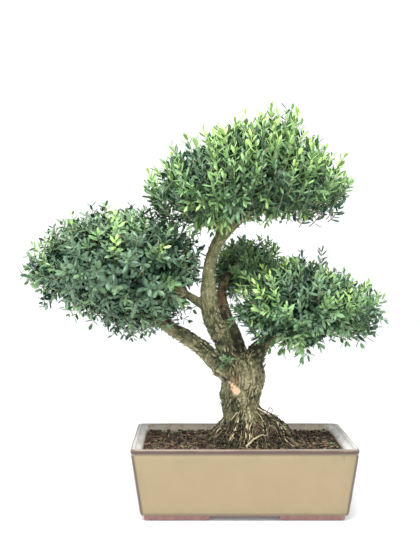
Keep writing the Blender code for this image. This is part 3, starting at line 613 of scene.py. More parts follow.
def smooth_path(points, steps):
    """Catmull-Rom: a cubic through the points, where each slope is half the step between its neighbours."""
    rows = np.array([points[0], *points, points[-1]], float)
    a, b, c, d = rows[:-3, None], rows[1:-2, None], rows[2:-1, None], rows[3:, None]
    t = (np.arange(steps) / steps)[None, :, None]
    made = 0.5 * (2 * b + (c - a) * t + (2 * a - 5 * b + 4 * c - d) * t ** 2
                  + (3 * b - a - 3 * c + d) * t ** 3)
    return np.concatenate([made.reshape(-1, 4), rows[-1:]])


LIMB_LINES = [smooth_path(line, 5) for line in (TRUNK, LEADER, SECOND_STEM, LEFT_BRANCH, PALE_BRANCH,
                                                RIGHT_BRANCH, *BRANCH_STUBS, PRUNING_SCAR)]
TRUNK_ID, LEADER_ID, SECOND_ID, LEFT_ID, PALE_ID, RIGHT_ID = range(6)
print(len(LIMB_LINES), "limbs")

# %% [markdown]
# The limbs start as separate tubes, the trunk with five deep furrows that wind slowly round it. A voxel
# remesh melts them into one skin, so the forks look grown and not stuck on, and a little smoothing eases
# the joints. The relief of the bark then needs to know, for every point, which limb it is on.

# %% Wood, melted into one skin
FLUTE_COUNT, FLUTE_TWIST, TRUNK_FLUTES = 5, 0.27, 0.13
WOOD_VOXEL = 0.00085


def limb_tube(line, sides, flutes):
    """A tube whose rings swell by flutes cos(5 turn), where the turn winds slowly up the trunk."""
    made = tubes(line[None, :, :3], line[None, :, 3], sides)
    middle = np.concatenate([np.repeat(line[:, :3], sides, axis=0), line[[0, -1], :3]])
    out = made["points"] - middle
    turn = np.arctan2(out[:, 1], out[:, 0]) + FLUTE_TWIST * middle[:, 2]
    made["points"] = middle + out * (1 + flutes * np.cos(FLUTE_COUNT * turn))[:, None]
    return made


def melted(made):
    """The shapes as one closed skin of even squares, with its joints smoothed."""
    holder = bpy.data.objects.new("limbs", mesh_from("limbs", made))
    bpy.context.scene.collection.objects.link(holder)
    remesh = holder.modifiers.new("melt", "REMESH")
    remesh.mode, remesh.voxel_size = "VOXEL", WOOD_VOXEL
    ease = holder.modifiers.new("ease", "SMOOTH")
    ease.factor, ease.iterations = 0.5, 5
    graph = bpy.context.evaluated_depsgraph_get()
    mesh = bpy.data.meshes.new_from_object(holder.evaluated_get(graph))
    bpy.data.objects.remove(holder, do_unlink=True)
    return mesh


def read_points(mesh):
    """A mesh's points in centimetres and the directions its surface faces there."""
    flat, facing = (np.zeros(len(mesh.vertices) * 3, np.float32) for _ in range(2))
    mesh.vertices.foreach_get("co", flat)
    mesh.vertex_normals.foreach_get("vector", facing)
    return (flat.reshape(-1, 3) - POT_CENTRE) / CM, facing.reshape(-1, 3).astype(float)


SEGMENT_START = np.concatenate([line[:-1, :3] for line in LIMB_LINES])
SEGMENT_RUN = np.concatenate([np.diff(line[:, :3], axis=0) for line in LIMB_LINES])
SEGMENT_RADII = np.concatenate([np.column_stack([line[:-1, 3], line[1:, 3]]) for line in LIMB_LINES])
SEGMENT_LIMB = np.concatenate([np.full(len(line) - 1, index) for index, line in enumerate(LIMB_LINES)])
SEGMENT_ALONG = np.concatenate([
    np.concatenate([[0], np.cumsum(np.linalg.norm(np.diff(line[:, :3], axis=0), axis=-1))[:-1]])
    for line in LIMB_LINES])


def on_limbs(points, upto=None):
    """For each point the limb segment whose bark is nearest: the limb, the place on its middle line, how
    far along and how far from the bark that is, its radius and its direction."""
    keep = slice(None) if upto is None else SEGMENT_LIMB < upto
    start, run, radii = SEGMENT_START[keep], SEGMENT_RUN[keep], SEGMENT_RADII[keep]
    found = []
    for some in np.array_split(points, max(1, len(points) // 8000)):
        offset = some[:, None] - start
        share = np.clip((offset * run).sum(-1) / (run ** 2).sum(-1), 0, 1)
        away = np.linalg.norm(offset - share[..., None] * run, axis=-1)
        radius = radii[:, 0] + (radii[:, 1] - radii[:, 0]) * share
        best = (away - radius).argmin(axis=1)
        rows = np.arange(len(some))
        found.append(np.column_stack([
            SEGMENT_LIMB[keep][best], start[best] + share[rows, best, None] * run[best],
            SEGMENT_ALONG[keep][best] + share[rows, best] * np.linalg.norm(run[best], axis=-1),
            (away - radius)[rows, best], radius[rows, best], unit(run[best])]))
    found = np.concatenate(found)
    return {"limb": found[:, 0].astype(int), "middle": found[:, 1:4], "along": found[:, 4],
            "off": found[:, 5], "radius": found[:, 6], "way": found[:, 7:10]}


wood_mesh = melted(strung([limb_tube(line, 24 if index else 48, 0.0 if index else TRUNK_FLUTES)
                           for index, line in enumerate(LIMB_LINES)]))
print("the wood's skin has", len(wood_mesh.polygons), "squares")

# %% [markdown]
# Old boxwood bark is corky: it breaks into narrow plates that run along the limb, with dark cracks
# between them and stringy ridges on top. Plates are cells stretched along the limb, their height falls
# off into the cracks, and layered noise adds the strings. Thick limbs get deep relief, thin ones little,
# and the leader's upper half is calmer. The scar is a row of spots, each a place in x and z and a radius.

# %% Bark relief and its masks
SCAR_SPOTS = [((-0.60, 11.98), 0.40), ((-0.86, 12.24), 0.30), ((-1.12, 12.50), 0.21), ((-1.36, 12.70), 0.14)]
HOLLOW_PLACE, HOLLOW_SIZE = np.array([-0.74, -1.9, 13.60]), np.array([0.48, 1.2, 1.00])


def bark_relief(points, facing, seat):
    """Moves the points along their normals by plates, strings and lumps, and gives the masks: how dark from
    cracks and painted shade, how pale, how mossy, how reddish, and how much on the pruning scar."""
    limb, size = seat["limb"], ramp(seat["radius"], 0.15, 1.9)
    out = points - seat["middle"]
    first = unit(np.array([0, 1.0, 0]) - seat["way"][:, 1:2] * seat["way"])
    second = np.cross(seat["way"], first)
    turn = np.arctan2((out * second).sum(-1), (out * first).sum(-1))
    flat = np.column_stack([np.cos(turn), np.sin(turn)]) * np.maximum(seat["radius"], 0.15)[:, None]
    leader = (limb == LEADER_ID) | (limb == PALE_ID)
    calm = 0.75 * leader * ramp(points[:, 2], 19.5, 22.0)
    stretch = 0.11 + 0.11 * size
    local = np.column_stack([flat, seat["along"] * stretch + limb * 7.7])
    warp = layered_noise(points * 1.1, 2, 11)[:, None] * 0.34
    gap, own = plates_at((local + warp) * (4.3 - 1.6 * size)[:, None], 21)
    plate = np.maximum(ramp(gap, 0.02, 0.42), 0.7 * ramp(layered_noise(points * 1.7, 2, 15), 0.15, 0.5))
    strand = np.column_stack([flat * 2.6, seat["along"] * 0.45 + limb * 3.1]) + warp
    ridges = 1 - 2.6 * np.abs(layered_noise(strand, 3, 31))
    fibres = layered_noise(np.column_stack([flat * 8.0, seat["along"] * 0.7]) + warp, 2, 35)
    lumps = layered_noise(points * 0.9, 3, 41)
    height = (0.03 + 0.20 * size) * (1 - 0.7 * calm) * (plate * (0.55 + 0.65 * own) - 0.75)
    height += (0.020 + 0.075 * size) * ridges + (0.018 + 0.012 * size) * fibres + 0.12 * size * lumps
    scar = 0 * size
    for place, reach in SCAR_SPOTS:
        away = np.hypot(points[:, 0] - place[0], points[:, 2] - place[1])
        ragged = away / reach - 0.35 * layered_noise(points * 4.0, 2, 19)
        scar = np.maximum(scar, ramp(-ragged, -1.10, -0.72))
    scar *= points[:, 1] < -0.8
    hollow = np.exp(-(((points - HOLLOW_PLACE) / HOLLOW_SIZE) ** 2).sum(-1)) * (points[:, 1] < -0.6)
    height = height * (1 - 0.8 * scar) - 0.30 * hollow
    up = facing[:, 2] * (np.abs(seat["way"][:, 0]) > 0.4) * (1 - leader)
    lean_branch = ((limb == LEFT_ID) | (limb == RIGHT_ID)) * 1.0
    topside, underside = lean_branch * ramp(up, -0.15, 0.5), lean_branch * ramp(-up, 0.15, 0.7)
    pale = (0.12 + 0.42 * own + 0.38 * ridges + 0.30 * fibres) * (0.5 + noise_at(points * 0.9, 55))
    pale += 0.20 * calm
    # Painted light: the trunk is painted paler towards its right side. Branch undersides are paler and their
    # tops darker.
    pale += 0.42 * ramp(points[:, 0], -0.2, 1.4) * (limb == TRUNK_ID) + 0.50 * underside - 0.35 * topside
    x, z = points[:, 0], points[:, 2]
    foot_moss = ramp(-x, -0.3, 0.8) * ramp(-z, -13.0, -11.2)
    fork_moss_and_painted_shade = np.exp(-(((z - 15.9) / 1.7) ** 2)) * (x < 2.4)
    patch_moss = 0.55 * ramp(-layered_noise(points * 0.8, 2, 51), -0.25, 0.35)
    moss = 0.75 * foot_moss + 0.3 * ramp(-z, -11, -9.5) + 0.75 * fork_moss_and_painted_shade * (1 - underside) + 0.5 * topside
    moss += patch_moss * (1 - 0.6 * calm) + 0.70 * leader
    low_stem = (limb == SECOND_ID) * ramp(-z, -20.6, -19.4)
    rust = (limb == SECOND_ID) * 0.9 * np.exp(-(((z - 21.2) / 1.5) ** 2))
    # Painted shade darkens the fork, the hollow, the second stem's low part and the leader's left side; the
    # bark is also darker with the moss at the foot and on the branches' tops.
    moss_and_painted_shade = 0.45 * foot_moss + 0.95 * fork_moss_and_painted_shade * (1 - underside) + 0.80 * topside
    moss_and_painted_shade += 0.50 * low_stem + 0.50 * hollow
    moss_and_painted_shade += 0.40 * (limb == LEADER_ID) * ramp(-z, -21.0, -19.0) * ramp(-(x - seat["middle"][:, 0]), -0.4, 0.5)
    moss_and_painted_shade *= ramp(layered_noise(points * 2.2, 2, 53), -0.45, 0.25) * (1 - scar)
    broken = 0.42 + 0.58 * ramp(layered_noise(points * 1.3, 2, 17), -0.25, 0.25)
    crack = (1 - plate) ** 0.8 * broken * (1 - 0.85 * calm) * (1 - scar)
    # Cracks and this painted shade go into one mask.
    masks = {"crack": 1 - (1 - np.clip(crack, 0, 1)) * (1 - np.clip(moss_and_painted_shade, 0, 1)), "pale": pale, "scar": scar,
             "red": np.maximum(hollow, rust), "moss": moss, "root": 0 * scar}
    return points + facing * height[:, None], {name: np.clip(rows, 0, 1) for name, rows in masks.items()}


wood_points, wood_facing = read_points(wood_mesh)
wood_seat = on_limbs(wood_points)
wood_points, wood_masks = bark_relief(wood_points, wood_facing, wood_seat)
wood_mesh.vertices.foreach_set("co", (wood_points * CM + POT_CENTRE).ravel())
wood_mesh.update()
for key, rows in wood_masks.items():
    wood_mesh.attributes.new(key, "FLOAT", "POINT").data.foreach_set("value", rows.astype(np.float32))
print("bark relief reaches over", len(wood_points), "points")

# %% [markdown]
# The bark's colours follow its relief: khaki plates with paler tops, nearly black cracks, olive moss low
# down and in the fork, a reddish hollow and second stem, and a peach-coloured pruning scar. Painted shade
# darkens the fork, the hollow, the second stem's low part and the leader's left side, and painted light
# makes the trunk paler on its right. The masks were worked out with the relief, and grain breaks their
# borders.

# %% Bark finish
bark = Finish("bark", Roughness=0.85, Specular_IOR_Level=0.25)
fine = bark.mask(GRAIN, 420, 0.30, 0.70)
# Plates from dark to pale, with the painted light on the trunk's right side.
plates_colour = bark.blend(bark.sum(bark.value("pale"), fine), (0.125, 0.112, 0.060), (0.57, 0.51, 0.31))
olive = bark.blend(fine, (0.042, 0.062, 0.022), (0.195, 0.230, 0.082))
moss_share = bark.sum(bark.value("moss"), bark.mask(GRAIN, 110, 0.38, 0.60))
wood_colour = bark.blend(moss_share, plates_colour, olive)
rust = bark.blend(fine, (0.11, 0.048, 0.026), (0.32, 0.175, 0.080))
wood_colour = bark.blend(bark.sum(bark.value("red"), bark.mask(GRAIN, 150, 0.3, 0.5)), wood_colour, rust)
root_tan = bark.blend(bark.value("pale"), (0.085, 0.062, 0.032), (0.62, 0.50, 0.32))
wood_colour = bark.blend(bark.sum(bark.value("root"), 0.65), wood_colour, root_tan)
# Cracks and painted shade go nearly black.
wood_colour = bark.blend(bark.value("crack"), wood_colour, (0.024, 0.024, 0.013))
bare_wood = bark.blend(fine, (0.26, 0.165, 0.095), (0.64, 0.43, 0.29))
wood_colour = bark.blend(bark.value("scar"), wood_colour, bare_wood)
bark.colour(wood_colour)
bark.bump(bark.mask(GRAIN, 900, 0.25, 0.75), 0.0005)
finished("trunk_and_branches", wood_mesh, bark.material, ["trunk"])

# %% [markdown]
# Thin flakes peel off the old bark and stand up from it. They are the same closed blades as the leaves,
# only short and broad. Each one starts at a point of the bark, runs along its limb, up or down, and
# leans out from the surface at a small angle.

# %% Peeling flakes
draw = np.random.default_rng(71)


def flakes_on(points, facing, seat, count, longest):
    """Flakes at random points of the limbs: run along the limb, tilted out, each with its own size."""
    weight = np.clip(seat["radius"], 0.2, 1.2)
    weight = weight * (np.linalg.norm(points - [-0.7, -2.0, 12.1], axis=-1) > 0.9) * (points[:, 2] > 10.4)
    chosen = draw.choice(len(points), count, replace=False, p=weight / weight.sum())
    place, out, way = points[chosen], facing[chosen], seat["way"][chosen].copy()
    way *= np.where(draw.random(count) < 0.5, 1, -1)[:, None]
    tilt = draw.uniform(0.05, 0.30, count)[:, None]
    skew = draw.normal(0, 0.30, (count, 3))
    run = unit(way * np.cos(tilt) + out * np.sin(tilt) + skew * 0.5)
    wide = unit(np.cross(out, run))
    scale = np.clip(seat["radius"][chosen] / 1.0, 0.35, 1.0)
    length = draw.uniform(0.25, 1.0, count) * longest * scale
    values = {"pale": draw.uniform(0.15, 0.75, count), "moss": draw.uniform(0, 0.7, count), "crack": 0.0,
              "scar": 0.0, "red": 0.0, "root": 0.0}
    return blades(place - run * 0.05, run, wide, length, length * draw.uniform(0.25, 0.55, count), 0.05,
                  draw.uniform(-0.25, 0.1, count), 0.1, values)


flakes = flakes_on(wood_points, wood_facing, wood_seat, 650, 0.68)
finished("bark_flakes", mesh_from("bark_flakes", flakes), bark.material, sharp_from=60)

# %% [markdown]
# Round the trunk's foot the earth has washed away and left a web of roots, from half a millimetre to
# three millimetres thick, that come out of the flare and run down the mound with dark soil between them.
# Each is a path over the soil's own surface. The thickest follow the trunk's solid, a few more stand
# where the photograph shows them, and the fine ones spread at random, with side roots.

# %% Surface roots
FINE_ROOTS, SIDE_ROOTS, ROOT_STEPS = 62, 80, 25
# Radius, then x, y and height over the soil.
SEEN_ROOTS = [
    (0.13, [(0.62, -1.45, 1.0), (0.80, -2.05, 0.25), (0.51, -2.85, 0.06),
            (0.61, -3.86, 0.06), (0.27, -4.9, 0.0)]),
    (0.10, [(-0.45, -1.5, 0.7), (-1.34, -1.75, 0.15), (-1.87, -2.0, 0.08),
            (-2.71, -2.6, 0.05), (-3.05, -3.3, 0.0)]),
    (0.12, [(1.55, -0.9, 0.9), (3.00, -1.3, 0.2), (4.05, -2.04, 0.08),
            (4.30, -3.02, 0.06), (5.4, -3.8, 0.0)]),
    (0.11, [(1.75, -0.3, 0.9), (3.40, -0.4, 0.2), (4.90, -0.5, 0.08),
            (6.12, -1.0, 0.05), (6.9, -1.9, 0.0)]),
    (0.16, [(0.25, -4.75, 0.05), (0.95, -4.35, 0.28), (1.75, -3.8, 0.12), (2.3, -3.6, 0.0)]),
    (0.08, [(-0.2, -1.6, 0.9), (-0.75, -2.3, 0.15), (-0.95, -3.2, 0.06),
            (-1.35, -4.1, 0.05), (-1.5, -4.9, 0.0)]),
    (0.07, [(0.2, -1.7, 0.7), (-0.05, -2.4, 0.15), (-0.15, -3.3, 0.06),
            (-0.45, -4.2, 0.04), (-0.5, -5.0, 0.0)]),
    (0.08, [(1.3, -1.3, 0.9), (2.0, -2.1, 0.15), (2.4, -3.1, 0.06), (2.5, -4.1, 0.05), (3.0, -5.0, 0.0)]),
    (0.07, [(-1.3, -0.9, 0.5), (-2.3, -1.3, 0.10), (-3.2, -1.6, 0.06), (-4.0, -2.4, 0.0)]),
]


def root_line(angle, reach, radius, wander):
    """A surface root of the solid: out of the trunk's foot and down the mound, half sunk in the soil."""
    share = np.linspace(0, 1, 5)
    out = ROOT_START + (reach - ROOT_START) * share
    turn = math.radians(angle) + wander * np.sin(math.pi * 1.3 * share) * 0.5
    x, y = ROOT_CENTRE[0] + out * np.cos(turn), ROOT_CENTRE[1] + out * 0.88 * np.sin(turn)
    thick = radius * (1 - 0.60 * share)
    height = soil_level(x, y) + thick * 0.7 - 0.25 * share ** 4
    height[0] = max(height[0], ROOT_START_HEIGHT + 0.35)
    return np.column_stack([x, y, height, thick])


def even_line(line):
    """A line of a root at as many points as every other root has, so that they make one array."""
    path = smooth_path(line, 8)
    place = np.linspace(0, len(path) - 1, ROOT_STEPS)
    return np.stack([np.interp(place, np.arange(len(path)), column) for column in path.T], axis=-1)


def fine_root_paths(count):
    """Paths from the flare outwards: angle + slow sine wander, height from the soil's own surface."""
    share = np.linspace(0, 1, ROOT_STEPS)
    angle = draw.uniform(-math.pi, math.pi, count)
    angle = np.where(draw.random(count) < 0.6, draw.normal(-0.95, 0.65, count), angle)[:, None]
    reach = draw.uniform(2.6, 6.2, count)[:, None]
    begin = draw.uniform(1.2, 1.9, count)[:, None]
    out = begin + (reach - begin) * share
    swing = draw.normal(0, 0.10, (count, 1))
    waves = share * draw.uniform(3, 8, (count, 1))
    sway = swing * np.sin(waves + draw.uniform(0, 6, (count, 1)))
    sway += draw.normal(0, 0.20, (count, 1)) * share
    x = ROOT_CENTRE[0] + out * np.cos(angle + sway)
    y = ROOT_CENTRE[1] + out * 0.88 * np.sin(angle + sway)
    thick = draw.uniform(0.020, 0.058, count)[:, None] * (1 - 0.6 * share)
    climb = draw.uniform(0.0, 0.9, count)[:, None] * np.exp(-share * 9)
    lift = np.abs(draw.normal(0, 0.12, (count, 1))) * np.sin(share * math.pi)
    height = soil_level(x, y) + climb + lift + 0.04 - 0.35 * ramp(share, 0.75, 1.0)
    return np.stack([x, y, height], axis=-1), thick


def side_root_paths(paths, thick, count):
    """Side roots: they leave a root at a third of its way and drift off by a growing sideways step."""
    chosen = draw.integers(0, len(paths), count)
    start = draw.integers(3, 9, count)
    share = np.linspace(0, 1, ROOT_STEPS)
    base = paths[chosen, start]
    run = unit(paths[chosen, start + 2] - base)
    side = np.cross(run, [0, 0, 1]) * np.where(draw.random(count) < 0.5, 1, -1)[:, None]
    length = draw.uniform(0.8, 3.0, count)[:, None, None]
    bend = draw.uniform(0.3, 0.8, count)[:, None, None]
    way = run[:, None] * share[:, None] + side[:, None] * bend * share[:, None] ** 1.3
    made = base[:, None] + way * length
    made[..., 2] = soil_level(made[..., 0], made[..., 1]) + 0.04 + 0.05 * np.sin(share * 9)
    made[:, 0] = base
    return made, thick[chosen, start][:, None] * 0.6 * (1 - 0.6 * share)


def gnarl(paths, bend):
    """Sideways and upward kinks from noise at the points themselves, none at a path's start."""
    flat = paths.reshape(-1, 3)
    moved = np.stack([layered_noise(flat * 1.3, 2, seed) for seed in (63, 65, 67)], axis=-1)
    eased_in = np.minimum(1, np.arange(paths.shape[1]) / 5)[:, None]
    return bend * moved.reshape(paths.shape) * [1, 1, 0.35] * eased_in


rng = random.Random(5)
lines = [even_line(root_line(*row, rng.uniform(-ROOT_WANDER, ROOT_WANDER))) for row in ROOTS]
for radius, places in SEEN_ROOTS:
    line = np.array([(x, y, soil_level(x, y) + lift + radius * 0.5, radius) for x, y, lift in places])
    line[:, 3] *= np.linspace(0.8, 0.4, len(line))
    lines.append(even_line(line))
lines = np.array(lines)
main_paths, main_thick = lines[..., :3], 0.85 * lines[..., 3]
fine_paths, fine_thick = fine_root_paths(FINE_ROOTS)
side_paths, side_thick = side_root_paths(fine_paths, fine_thick, SIDE_ROOTS)
for paths, bend in ((main_paths, 0.16), (fine_paths, 0.30), (side_paths, 0.24)):
    paths += gnarl(paths, bend)
count, thin_count = len(lines), FINE_ROOTS + SIDE_ROOTS
roots = tubes(np.concatenate([main_paths, fine_paths, side_paths]),
              np.concatenate([main_thick, fine_thick, side_thick]), 7,
              pale=np.append(draw.uniform(0.25, 1.0, count), draw.random(thin_count) ** 1.2),
              moss=np.append(draw.uniform(0.0, 0.9, count), draw.uniform(0.0, 0.8, thin_count)),
              root=np.append(draw.uniform(0.5, 1.0, count), draw.uniform(0.2, 0.9, thin_count)),
              crack=np.append(np.zeros(count), 0.75 * (draw.random(thin_count) < 0.35)), scar=0.0, red=0.0)
roots["points"] += 0.035 * layered_noise(roots["points"] * 3, 2, 61)[:, None]
roots["pale"] *= 0.35 + 1.4 * noise_at(roots["points"] * 1.9, 71)
roots["moss"] *= 0.4 + 1.2 * noise_at(roots["points"] * 1.4, 73)
hidden = 0.90 * ramp(layered_noise(roots["points"] * 1.6, 2, 75), -0.10, 0.25)
roots["crack"] = np.maximum(roots["crack"], hidden)
finished("surface_roots", mesh_from("surface_roots", roots), bark.material, ["trunk"])

# %% [markdown]
# Bonsai soil is coarse: dark crumbs of peat and clay with reddish-brown grains and bits of old root. The
# surface is a grid over the pot's inside, raised by the mound and by rounded crumbs, which are the same
# cells as the bark plates but not stretched. Its rim is drawn down to the floor to close the body. Moss
# grows on the mound's front, where a patch of dry ochre earth has stayed bare.
# The gaps between crumbs and the drawn-down rim are painted nearly black as shade, and the crumbs and grains
# on the mound's front are painted darker as shade, except on the ochre patch.

# %% Soil
SOIL_CELLS = (230, 156)
SOIL_EDGE = LIP_PROUD + 0.85 + 0.03


def mound_front(x, y):
    """1 before the trunk, fading over four centimetres."""
    return np.exp(-((x - 0.6) ** 2 + (y + 1.5) ** 2) / 16)


def ochre_patch(x, y):
    """1 on the dry patch, fading over a centimetre."""
    return np.exp(-((x - 1.5) ** 2 + (y + 2.2) ** 2) / 1.8)


def soil_body():
    """A grid squeezed into the pot's rounded inside, displaced upwards, and closed by its drawn-down rim."""
    across, deep = SOIL_CELLS
    u, v = np.meshgrid(np.linspace(-1, 1, across), np.linspace(-1, 1, deep), indexing="ij")
    top = POT_HEIGHT - SOIL_BELOW_RIM
    half = [size / 2 - SOIL_EDGE - lean_at(top) - 0.03 for size in (POT_LENGTH, POT_DEPTH)]
    x, y = u * half[0], v * half[1]
    over_x, over_y = np.abs(x) - (half[0] - 0.6), np.abs(y) - (half[1] - 0.6)
    reach = np.hypot(over_x, over_y)
    pull = np.where((over_x > 0) & (over_y > 0) & (reach > 0.6), 0.6 / np.maximum(reach, 1e-9), 1.0)
    x = np.where(pull < 1, np.sign(x) * (half[0] - 0.6 + over_x * pull), x)
    y = np.where(pull < 1, np.sign(y) * (half[1] - 0.6 + over_y * pull), y)
    flat = np.stack([x, y, np.zeros_like(x)], axis=-1).reshape(-1, 3)
    gap, own = plates_at(flat * 3.4 + 0.4 * layered_noise(flat * 2, 2, 5)[:, None], 81)
    crumbs = (0.10 + 0.10 * own) * ramp(gap, 0.0, 0.5)
    rough = 0.13 * layered_noise(flat * 1.1, 3, 83) + 0.05 * layered_noise(flat * 7, 2, 85)
    height = soil_level(flat[:, 0], flat[:, 1]) + crumbs + rough - 0.08
    points = np.column_stack([flat[:, :2], height])
    index = np.arange(across * deep).reshape(across, deep)
    quads = np.stack([index[:-1, :-1], index[1:, :-1], index[1:, 1:], index[:-1, 1:]], axis=-1).reshape(-1, 4)
    rim = np.concatenate([index[:-1, 0], index[-1, :-1], index[:0:-1, -1], index[0, :0:-1]])
    low = points[rim].copy()
    low[:, :2] *= 1 - (lean_at(FLOOR_TOP + 0.03) - lean_at(top)) / np.array(half)
    low[:, 2] = FLOOR_TOP + 0.03
    count, ring = len(points), np.arange(len(rim))
    after = (ring + 1) % len(rim)
    skirt = np.stack([count + ring, count + after, rim[after], rim], axis=-1)
    base = np.stack([count + after, count + ring, np.full(len(rim), count + len(rim))], axis=-1)
    near, ochre = mound_front(*flat[:, :2].T), ochre_patch(*flat[:, :2].T)
    green = ramp(layered_noise(flat * 0.9, 2, 87), 0.0, 0.35) * (0.45 + 0.55 * near) + 0.35 * near
    green = np.concatenate([green, np.zeros(len(rim) + 1)])
    # Painted shade: the crumbs on the mound's front, between the roots, are darker, except on the ochre
    # patch.
    lit = 0.75 * (1 - 0.75 * np.minimum(1, 2 * near) * (1 - ochre))
    red = np.concatenate([own * lit, np.zeros(len(rim) + 1)])
    # Painted shade: the gaps between crumbs, and the rim drawn down to the floor, go nearly black.
    painted_gap_shade = np.concatenate([1 - ramp(gap, 0.0, 0.35), np.ones(len(rim) + 1)])
    below = [[0, 0, FLOOR_TOP + 0.03]]
    return shape(np.concatenate([points, low, below]), np.concatenate([quads, skirt]), base,
                 tone=red, deep=painted_gap_shade, moss=green)


earth = Finish("dark_soil", Roughness=0.95, Specular_IOR_Level=0.2)
crumb = earth.blend(earth.value("tone"), (0.006, 0.005, 0.004), (0.290, 0.165, 0.120))
crumb = earth.blend(earth.mask(GRAIN, 170, 0.42, 0.62), crumb, (0.012, 0.010, 0.008))
mossy = earth.blend(earth.value("tone"), (0.010, 0.016, 0.006), (0.260, 0.240, 0.090))
crumb = earth.blend(earth.sum(earth.value("moss"), earth.mask(GRAIN, 120, 0.35, 0.55)), crumb, mossy)
crumb = earth.blend(earth.sum(earth.mask(GRAIN, 1100, 0.57, 0.65), 0.8), crumb, (0.42, 0.32, 0.22))
# The painted shade in the gaps between crumbs.
crumb = earth.blend(earth.sum(earth.value("deep"), 0.92), crumb, (0.005, 0.004, 0.004))
earth.colour(crumb)
earth.bump(earth.mask(GRAIN, 1400, 0.3, 0.7), 0.0006)
finished("soil_bed", mesh_from("soil_bed", soil_body()), earth.material, ["soil"])

# %% [markdown]
# Loose grains lie on top of the crumbs. One grain is an icosahedron with its corners pushed in and out,
# and thousands of copies are turned, scaled and scattered by arrays. Straws of old root lie among them,
# which are tubes again.

# %% Grains and straws
GOLD = (1 + 5 ** 0.5) / 2
ICO_POINTS = unit(np.array([
    (-1, GOLD, 0), (1, GOLD, 0), (-1, -GOLD, 0), (1, -GOLD, 0), (0, -1, GOLD), (0, 1, GOLD),
    (0, -1, -GOLD), (0, 1, -GOLD), (GOLD, 0, -1), (GOLD, 0, 1), (-GOLD, 0, -1), (-GOLD, 0, 1),
]))
ICO_FACES = np.array([
    (0, 11, 5), (0, 5, 1), (0, 1, 7), (0, 7, 10), (0, 10, 11), (1, 5, 9), (5, 11, 4), (11, 10, 2),
    (10, 7, 6), (7, 1, 8), (3, 9, 4), (3, 4, 2), (3, 2, 6), (3, 6, 8), (3, 8, 9), (4, 9, 5), (2, 4, 11),
    (6, 2, 10), (8, 6, 7), (9, 8, 1),
])


def scattered_on_soil(count, margin, reach=1.0):
    """Places spread evenly over the soil inside the rim, away from the trunk's foot."""
    half = np.array([POT_LENGTH / 2, POT_DEPTH / 2]) - SOIL_EDGE - lean_at(6.35) - margin
    flat = draw.uniform(-1, 1, (count * 2, 2)) * half * reach
    away = np.hypot((flat[:, 0] - 0.3) / 2.3, (flat[:, 1] - 0.1) / 2.3)
    flat = flat[away > 1][:count]
    return np.column_stack([flat, soil_level(flat[:, 0], flat[:, 1])])


def grains(count):
    """Copies of the icosahedron: rows of a random rotation matrix, one size, three stretches each."""
    place = scattered_on_soil(count, 0.12)
    count = len(place)
    first = unit(draw.normal(size=(count, 3)))
    second = unit(np.cross(first, draw.normal(size=(count, 3))))
    turn = np.stack([first, second, np.cross(first, second)], axis=1)
    size = 0.06 + 0.19 * draw.random(count) ** 2.2
    corners = ICO_POINTS * draw.uniform(0.75, 1.15, (count, 12, 1)) * draw.uniform(0.65, 1.15, (count, 1, 3))
    points = np.einsum("nij,nkj->nki", turn.transpose(0, 2, 1), corners) * size[:, None, None]
    points += (place + np.column_stack([np.zeros((count, 2)), 0.05 + size * 0.3]))[:, None]
    faces = ICO_FACES + (np.arange(count) * 12)[:, None, None]
    tone = np.repeat(draw.random(count) ** 2.2 * 1.1, 12)
    near, ochre = mound_front(*place[:, :2].T), ochre_patch(*place[:, :2].T)
    # Painted shade: grains on the mound's front are darker, except on the ochre patch.
    tone *= np.repeat(1 - 0.75 * np.minimum(1, 2 * near) * (1 - ochre), 12)
    moss = np.repeat(np.clip(draw.normal(-0.1 + 0.75 * near, 0.40, count), 0, 1), 12)
    return shape(points, (), faces, tone=tone, deep=0.0, moss=moss)


def straws(count):
    """Thin bent tubes lying on the soil: old root and bark fibres."""
    place = scattered_on_soil(count, 0.8)
    count = len(place)
    angle = draw.uniform(0, 2 * math.pi, (count, 1))
    share = np.linspace(-0.5, 0.5, 5)
    length = draw.uniform(0.4, 1.6, (count, 1))
    bend = draw.normal(0, 0.25, (count, 1)) * (share ** 2 - 0.1) * length
    x = place[:, :1] + np.cos(angle) * share * length - np.sin(angle) * bend
    y = place[:, 1:2] + np.sin(angle) * share * length + np.cos(angle) * bend
    z = soil_level(x, y) + 0.12 + draw.uniform(-0.15, 0.25, (count, 1)) * share * length * 0.6
    return tubes(np.stack([x, y, z], axis=-1), draw.uniform(0.018, 0.038, (count, 1)), 4,
                 pale=draw.random(count) ** 1.5, root=draw.uniform(0.2, 0.9, count),
                 moss=draw.uniform(0, 0.6, count), crack=0.0, scar=0.0, red=draw.uniform(0, 0.9, count))


finished("soil_grains", mesh_from("soil_grains", grains(3300)), earth.material, sharp_from=30)
finished("root_straws", mesh_from("root_straws", straws(330)), bark.material)

# %% [markdown]
# Boxwood leaves sit in pairs, each pair turned by a quarter from the one below. They are leathery, dark
# and glossy on top, paler underneath, and the newest ones at the tips are yellow-green. Age and a tone with
# painted light are values of each leaf: leaves in the shade are painted dark and those in the light lighter,
# and its raised middle is painted a little lighter than its edges, as a highlight.

# %% Leaf finish
leaf_green = Finish("leaf_green", Roughness=0.38, Specular_IOR_Level=0.42)
drift = leaf_green.mask(PATCHES, 35, 0.3, 0.7)
